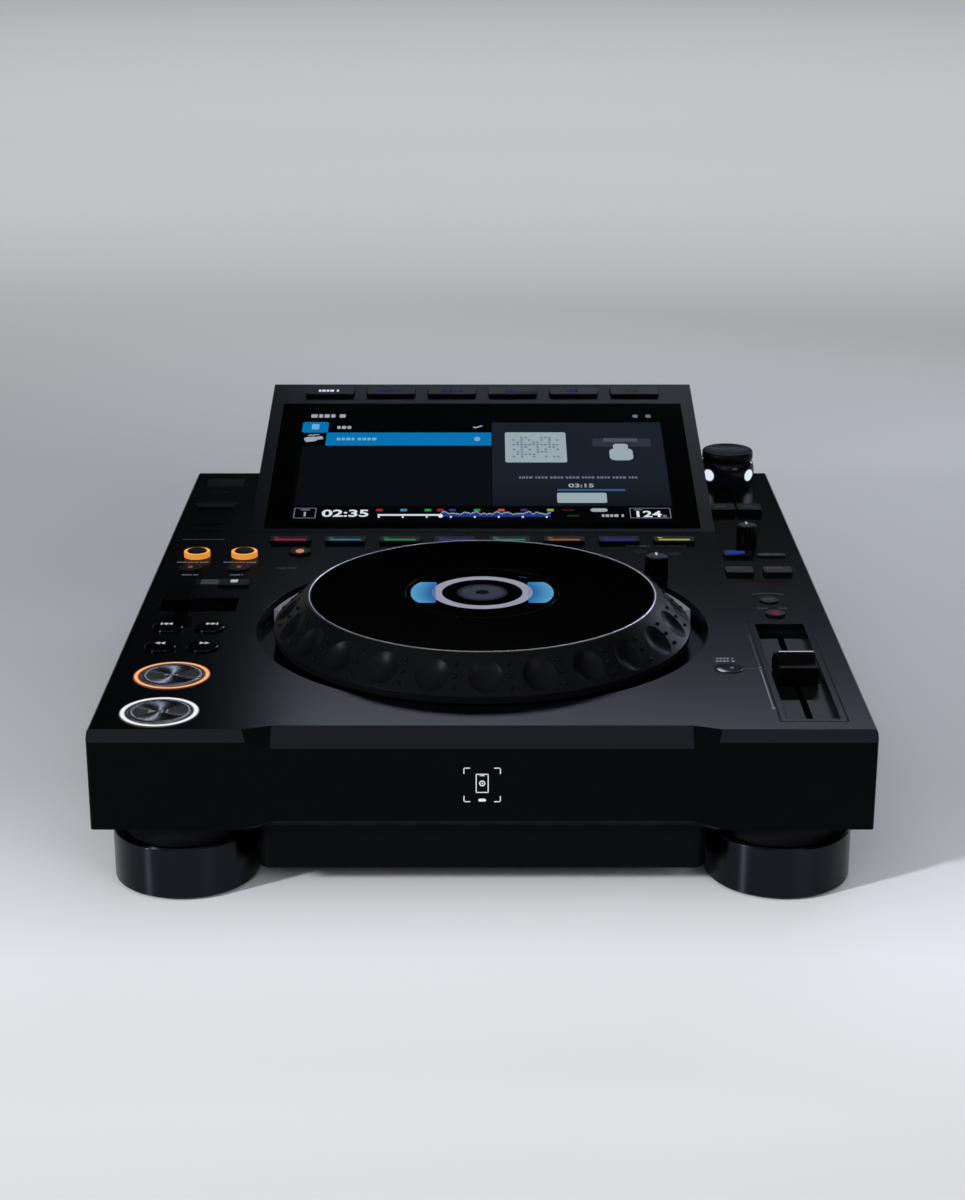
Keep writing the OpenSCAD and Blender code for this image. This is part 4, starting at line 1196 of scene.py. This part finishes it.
def haze_words(z):
    wording(-70.2, 106.1, 25.9, 3.0, z, 2)
    bar(-96.1, 121.2, 4.2, 6.4, z, 0.5)
    disc(-2.9, 106.2, 1.8, z, 24, 1.4)


def title_words(z):
    wording(-89.2, 134.9, 20.5, 4.0, z)
    wording(-77.8, 120.5, 11.5, 3.4, z, 1)
    bar(-2.0, 121.4, 4.6, 1.1, z, 0.2, 32)
    bar(-4.4, 120.4, 2.0, 1.1, z, 0.2, -40)
    wording(70.3, 18.1, 11.9, 2.6, z, 1)


def stick_icon(z):
    """A plain memory stick."""
    bar(-98.0, 106.0, 7.0, 5.6, z, 1.6, 14)
    bar(-92.9, 107.6, 3.6, 3.6, z, 0.4, 14)
    bar(-96.6, 111.2, 6.4, 0.9, z, 0.2, 10)


def grey_words(z):
    wording(54.1, 60.7, 67.5, 2.2, z, 1)
    disc(88.9, 134.6, 1.7, z, 24, 1.2)
    disc(96.4, 134.6, 1.7, z, 24, 1.2)


def card_shapes(z):
    bar(30.3, 96, 34.7, 36, z, 1.4)
    bar(54.4, 37.4, 27.1, 11, z, 1.2)
    bar(78.4, 87.5, 13.2, 14.0, z, 3.6)
    bar(78.4, 96.8, 8.4, 6.4, z, 2.0)
    bar(63.1, 23.9, 9.2, 3.6, z, 1.7)


def card_cells(z):
    """Small faint blocks on the card, in no order that means anything."""
    for row in range(9):
        for column in range(12):
            if (row * 5 + column * 7 + row * column * 3) % 11 < 5:
                bar(17.9 + column * 2.26, 84.6 + row * 2.85, 1.5, 1.9, z, 0.2)


# The waveform's left end, and its bars
WAVE_FROM = -22.4
WAVE_STEP = 0.95
WAVE_BAR = 0.78
WAVE_BARS = 63


def peak(number):
    """How high the waveform stands at its numbered bar."""
    swell = abs(math.sin(number * 0.53 + 0.4) * math.sin(number * 0.19 + 1.3))
    return 2.6 + 2.6 * swell + 0.8 * abs(math.sin(number * 2.3))


def wave_low(z):
    for number in range(WAVE_BARS):
        tall = peak(number)
        bar(WAVE_FROM + number * WAVE_STEP, 17.0 + tall / 2, WAVE_BAR, tall, z)


def wave_high(z):
    for number in range(WAVE_BARS):
        bar(WAVE_FROM + number * WAVE_STEP, 16.6 + peak(number), WAVE_BAR, 1.1, z)


def played_line(z):
    bar(-39.6, 18.7, 33.5, 1.6, z)
    for number in range(8):
        bar(-55.6 + number * 12.9, 16.6, 1.0, 1.7, z)
    disc(WAVE_FROM, 17.6, 1.3, z, 20, 1.4)


def boxes(z):
    for x, wide, tall in ((-95.6, 11.5, 10.6), (90.6, 21.6, 10.6)):
        for side in (-1, 1):
            bar(x + side * wide / 2, 20.9, 0.55, tall, z)
            bar(x, 20.9 + side * tall / 2, wide, 0.45, z)
    bar(-95.6, 24.4, 5.0, 1.0, z)
    wording(84.6, 24.6, 5.0, 1.2, z)
    bar(98.2, 17.6, 2.0, 2.6, z, 0.4)


def plain(*sizes):
    """A draw of one bar, from its place, its width and depth and its corners."""
    x, y, wide, deep, *corner = sizes
    return lambda z: bar(x, y, wide, deep, z, *corner)


def markers(*places):
    """Small blocks over the waveform."""
    return lambda z: [bar(x, 24.0, 3.6, 2.4, z, 0.5) for x in places]


side_light = lit("slate", 26, 32, 41, glow=slate_glow)
for name, draw, finish, level in (
    ("whole_area", plain(0, 80, 208, 140, 0.8), lit("night", 4, 6, 9, depth=0.1), 0),
    ("left_panel", plain(-48.5, 63.5, 107, 69, 0.6), lit("dusk", 10, 13, 18, depth=0.06), 1),
    ("slate_panel", plain(54.2, 77.8, 97.4, 97.8, 0.6), side_light, 1),
    ("blue_rows", blue_row, lit("sky_blue", 4, 110, 170, depth=0.04), 2),
    ("haze_words", haze_words, lit("haze_blue", 110, 164, 200), 3),
    ("title_words", title_words, lit_soft, 2),
    ("stick_icon", stick_icon, lit_soft, 2),
    ("grey_words", grey_words, lit_grey, 2),
    ("steel_bar", plain(79.2, 101.9, 33.4, 9.4, 1.6), lit("steel", 42, 50, 61, depth=0.04), 2),
    ("iron_bar", plain(78.7, 104.9, 19.4, 4.2, 0.8), lit("iron", 68, 76, 88, depth=0.04), 3),
    ("card_shapes", card_shapes, lit("card", 148, 163, 171, depth=0.04), 4),
    ("card_cells", card_cells, lit("faint", 108, 124, 136), 5),
    ("blue_line", plain(59.8, 46.4, 37.1, 2.0), lit("line_blue", 50, 84, 134), 2),
    ("wave_low", wave_low, lit_blue, 1),
    ("wave_high", wave_high, lit_soft, 2),
    ("played_line", played_line, lit_white, 3),
    ("boxes", boxes, lit_grey, 2),
    ("markers_red", markers(-55.5, -22.6), lit("red", 150, 34, 40), 3),
    ("markers_cyan", markers(-42.4), lit("cyan", 56, 128, 164), 3),
    ("markers_green", markers(-29.4, -2.8), lit("green", 40, 140, 66), 3),
    ("markers_orange", markers(10.3), lit("orange", 176, 84, 44), 3),
    ("markers_purple", markers(-16.1, 22.5), lit("purple", 66, 44, 112), 3),
    ("markers_lime", markers(36.8), lit("lime", 146, 158, 60), 3),
    ("mark_red", plain(46.5, 24.2, 6.0, 1.2), lit("dim_red", 74, 16, 20), 2),
    ("mark_green", plain(49.0, 18.0, 6.4, 1.2), lit("dim_green", 16, 62, 24), 2),
):
    shown(name, draw, finish, level)


def digits(name, finish, *places):
    piece = blank(f"display_{name}")
    close()
    for text, x, s, tall in places:
        figures(piece, text, x, s, 0.1, tall)
    up_the_slope(piece)
    attach(piece, "chassis", finish)


digits("digits", lit_white, ("02:35", -73.7, 20.2, 7.2), ("124", 89.0, 19.4, 6.4))
digits("small_digits", lit_soft, ("03:15", 54.5, 51.2, 4.0), ("1", -95.6, 19.4, 4.6))


# ---- Studio ----


# The floor's side, how far from its middle it is level, and how it curves up from there
FLOOR_SIDE = 34.0
LEVEL_TO = 8.0
CURVE = 0.02
# Painted light and shadow on the floor from the front to the back, between these two places: a
# painted band of light just in front of the deck, painted shade under and behind it, paler again
# further back
SHADE_FROM, SHADE_TO = -1.0, 4.3
FLOOR_PAINTED_LIGHT_AND_SHADOW = [
    (0.106, (0.67, 0.66, 0.655)),
    (0.117, (0.75, 0.745, 0.745)),
    (0.136, (0.88, 0.886, 0.9)),
    (0.172, (0.68, 0.692, 0.7)),
    (0.283, (0.71, 0.716, 0.712)),
    (0.42, (0.84, 0.848, 0.848)),
    (0.61, (0.78, 0.788, 0.788)),
    (0.981, (0.97, 0.98, 0.98)),
]


def floor():
    piece = blank("studio_floor")
    bpy.ops.mesh.primitive_grid_add(x_subdivisions=60, y_subdivisions=60, size=FLOOR_SIDE)
    form = bmesh.from_edit_mesh(piece.data)
    for corner in form.verts:
        away = max(0.0, corner.co.xy.length - LEVEL_TO)
        corner.co.z = CURVE * away * away
    bmesh.update_edit_mesh(piece.data)
    close(60)
    material, tree, where = fresh("studio_floor_pale")
    drift = noise(tree, where, 1.5, 3.0)
    depth = place(tree, "ShaderNodeSeparateXYZ", {}, {"Vector": where}).also("Y")
    inputs = {"Value": depth, "From Min": SHADE_FROM, "From Max": SHADE_TO}
    share = place(tree, "ShaderNodeMapRange", {}, inputs)
    # Painted light and shadow, graded from the front of the floor to the back
    painted_floor_light = place(tree, "ShaderNodeValToRGB", {"stops": FLOOR_PAINTED_LIGHT_AND_SHADOW}, {"Fac": share})
    base = blend(tree, drift * 0.05, painted_floor_light, (1.0, 1.0, 1.0))
    inputs = {"Base Color": base, "Roughness": 0.75 + drift * 0.1, "Specular IOR Level": 0.15}
    end(tree, place(tree, "ShaderNodeBsdfPrincipled", {}, inputs))
    piece.data.materials.append(material)


SKY_SHADES = [
    (0.0, (0.003, 0.003, 0.0035)),
    (0.5, (0.006, 0.006, 0.007)),
    (0.72, (0.56, 0.57, 0.585)),
    (1.0, (0.8, 0.81, 0.825)),
]
SKY_TILT = math.radians(24)


def sky():
    """A dark studio with one broad soft light overhead, a little towards the front."""
    world = bpy.data.worlds.new("studio")
    bpy.context.scene.world = world
    world.use_nodes = True
    tree = world.node_tree
    tree.nodes.clear()
    way = place(tree, "ShaderNodeTexCoord", {}, {}, "Generated")
    facing = dot(tree, way, (0, -math.sin(SKY_TILT), math.cos(SKY_TILT)))
    light = place(tree, "ShaderNodeValToRGB", {"stops": SKY_SHADES}, {"Fac": facing})
    back = place(tree, "ShaderNodeBackground", {}, {"Color": light, "Strength": 0.88})
    node = tree.nodes.new("ShaderNodeOutputWorld")
    tree.links.new(back.socket, node.inputs["Surface"])


def lamp(name, at, aim, wide, tall, power, spread, colour):
    data = bpy.data.lights.new(name, "AREA")
    data.shape = "RECTANGLE"
    data.size = wide
    data.size_y = tall
    data.energy = power
    data.color = colour
    data.spread = math.radians(spread)
    thing = bpy.data.objects.new(name, data)
    bpy.context.scene.collection.objects.link(thing)
    thing.location = at
    thing.rotation_euler = (Vector(aim) - Vector(at)).to_track_quat("-Z", "Y").to_euler()


floor()
sky()
# Each lamp: where it is, what it points at, its width and height, its power, how many degrees its
# light spreads, and its colour
PLAIN, COOL, CLEAR = (1, 1, 1), (0.88, 0.96, 1.2), (0.97, 0.99, 1.04)
for setting in (
    ("back_wash", (0, 1.3, 2.2), (0, 4.7, 0), 5.0, 1.5, 38.0, 150, PLAIN),
    ("back_strip", (0.355, 1.0, 0.685), (0.07, -0.15, 0.08), 1.18, 0.07, 1.5, 120, COOL),
    ("main_box", (1.3, -1.9, 1.05), (0.05, -0.35, 0), 1.0, 0.6, 5.0, 130, PLAIN),
    ("front_box", (-0.5, -2.2, 1.5), (-0.1, -1.0, 0), 1.4, 0.8, 2.0, 110, PLAIN),
    ("left_key", (-1.9, -1.35, 0.9), (0.1, -0.85, 0), 0.12, 0.25, 9.5, 56, CLEAR),
    ("right_strip", (1.0, 1.1, 0.3), (0.13, -0.17, 0.03), 0.12, 0.3, 0.14, 50, COOL),
):
    lamp(*setting)

# The camera: its place in metres, how far it looks down in degrees, its lens in frame lines
EYE = (0.000139, -1.09432, 0.43341)
LOOKS_DOWN = 18.870
LENS_LINES, FRAME_LINES = 2263.58, 1200
SENSOR = 36
view = bpy.data.cameras.new("front_view")
camera = bpy.data.objects.new("front_view", view)
bpy.context.scene.collection.objects.link(camera)
camera.location = EYE
camera.rotation_euler = (math.radians(90 - LOOKS_DOWN), 0, 0)
view.sensor_width = SENSOR
view.lens = LENS_LINES / FRAME_LINES * SENSOR
view.clip_start = 0.05
view.clip_end = 60
bpy.context.scene.camera = camera
bpy.context.scene.view_settings.view_transform = "Standard"
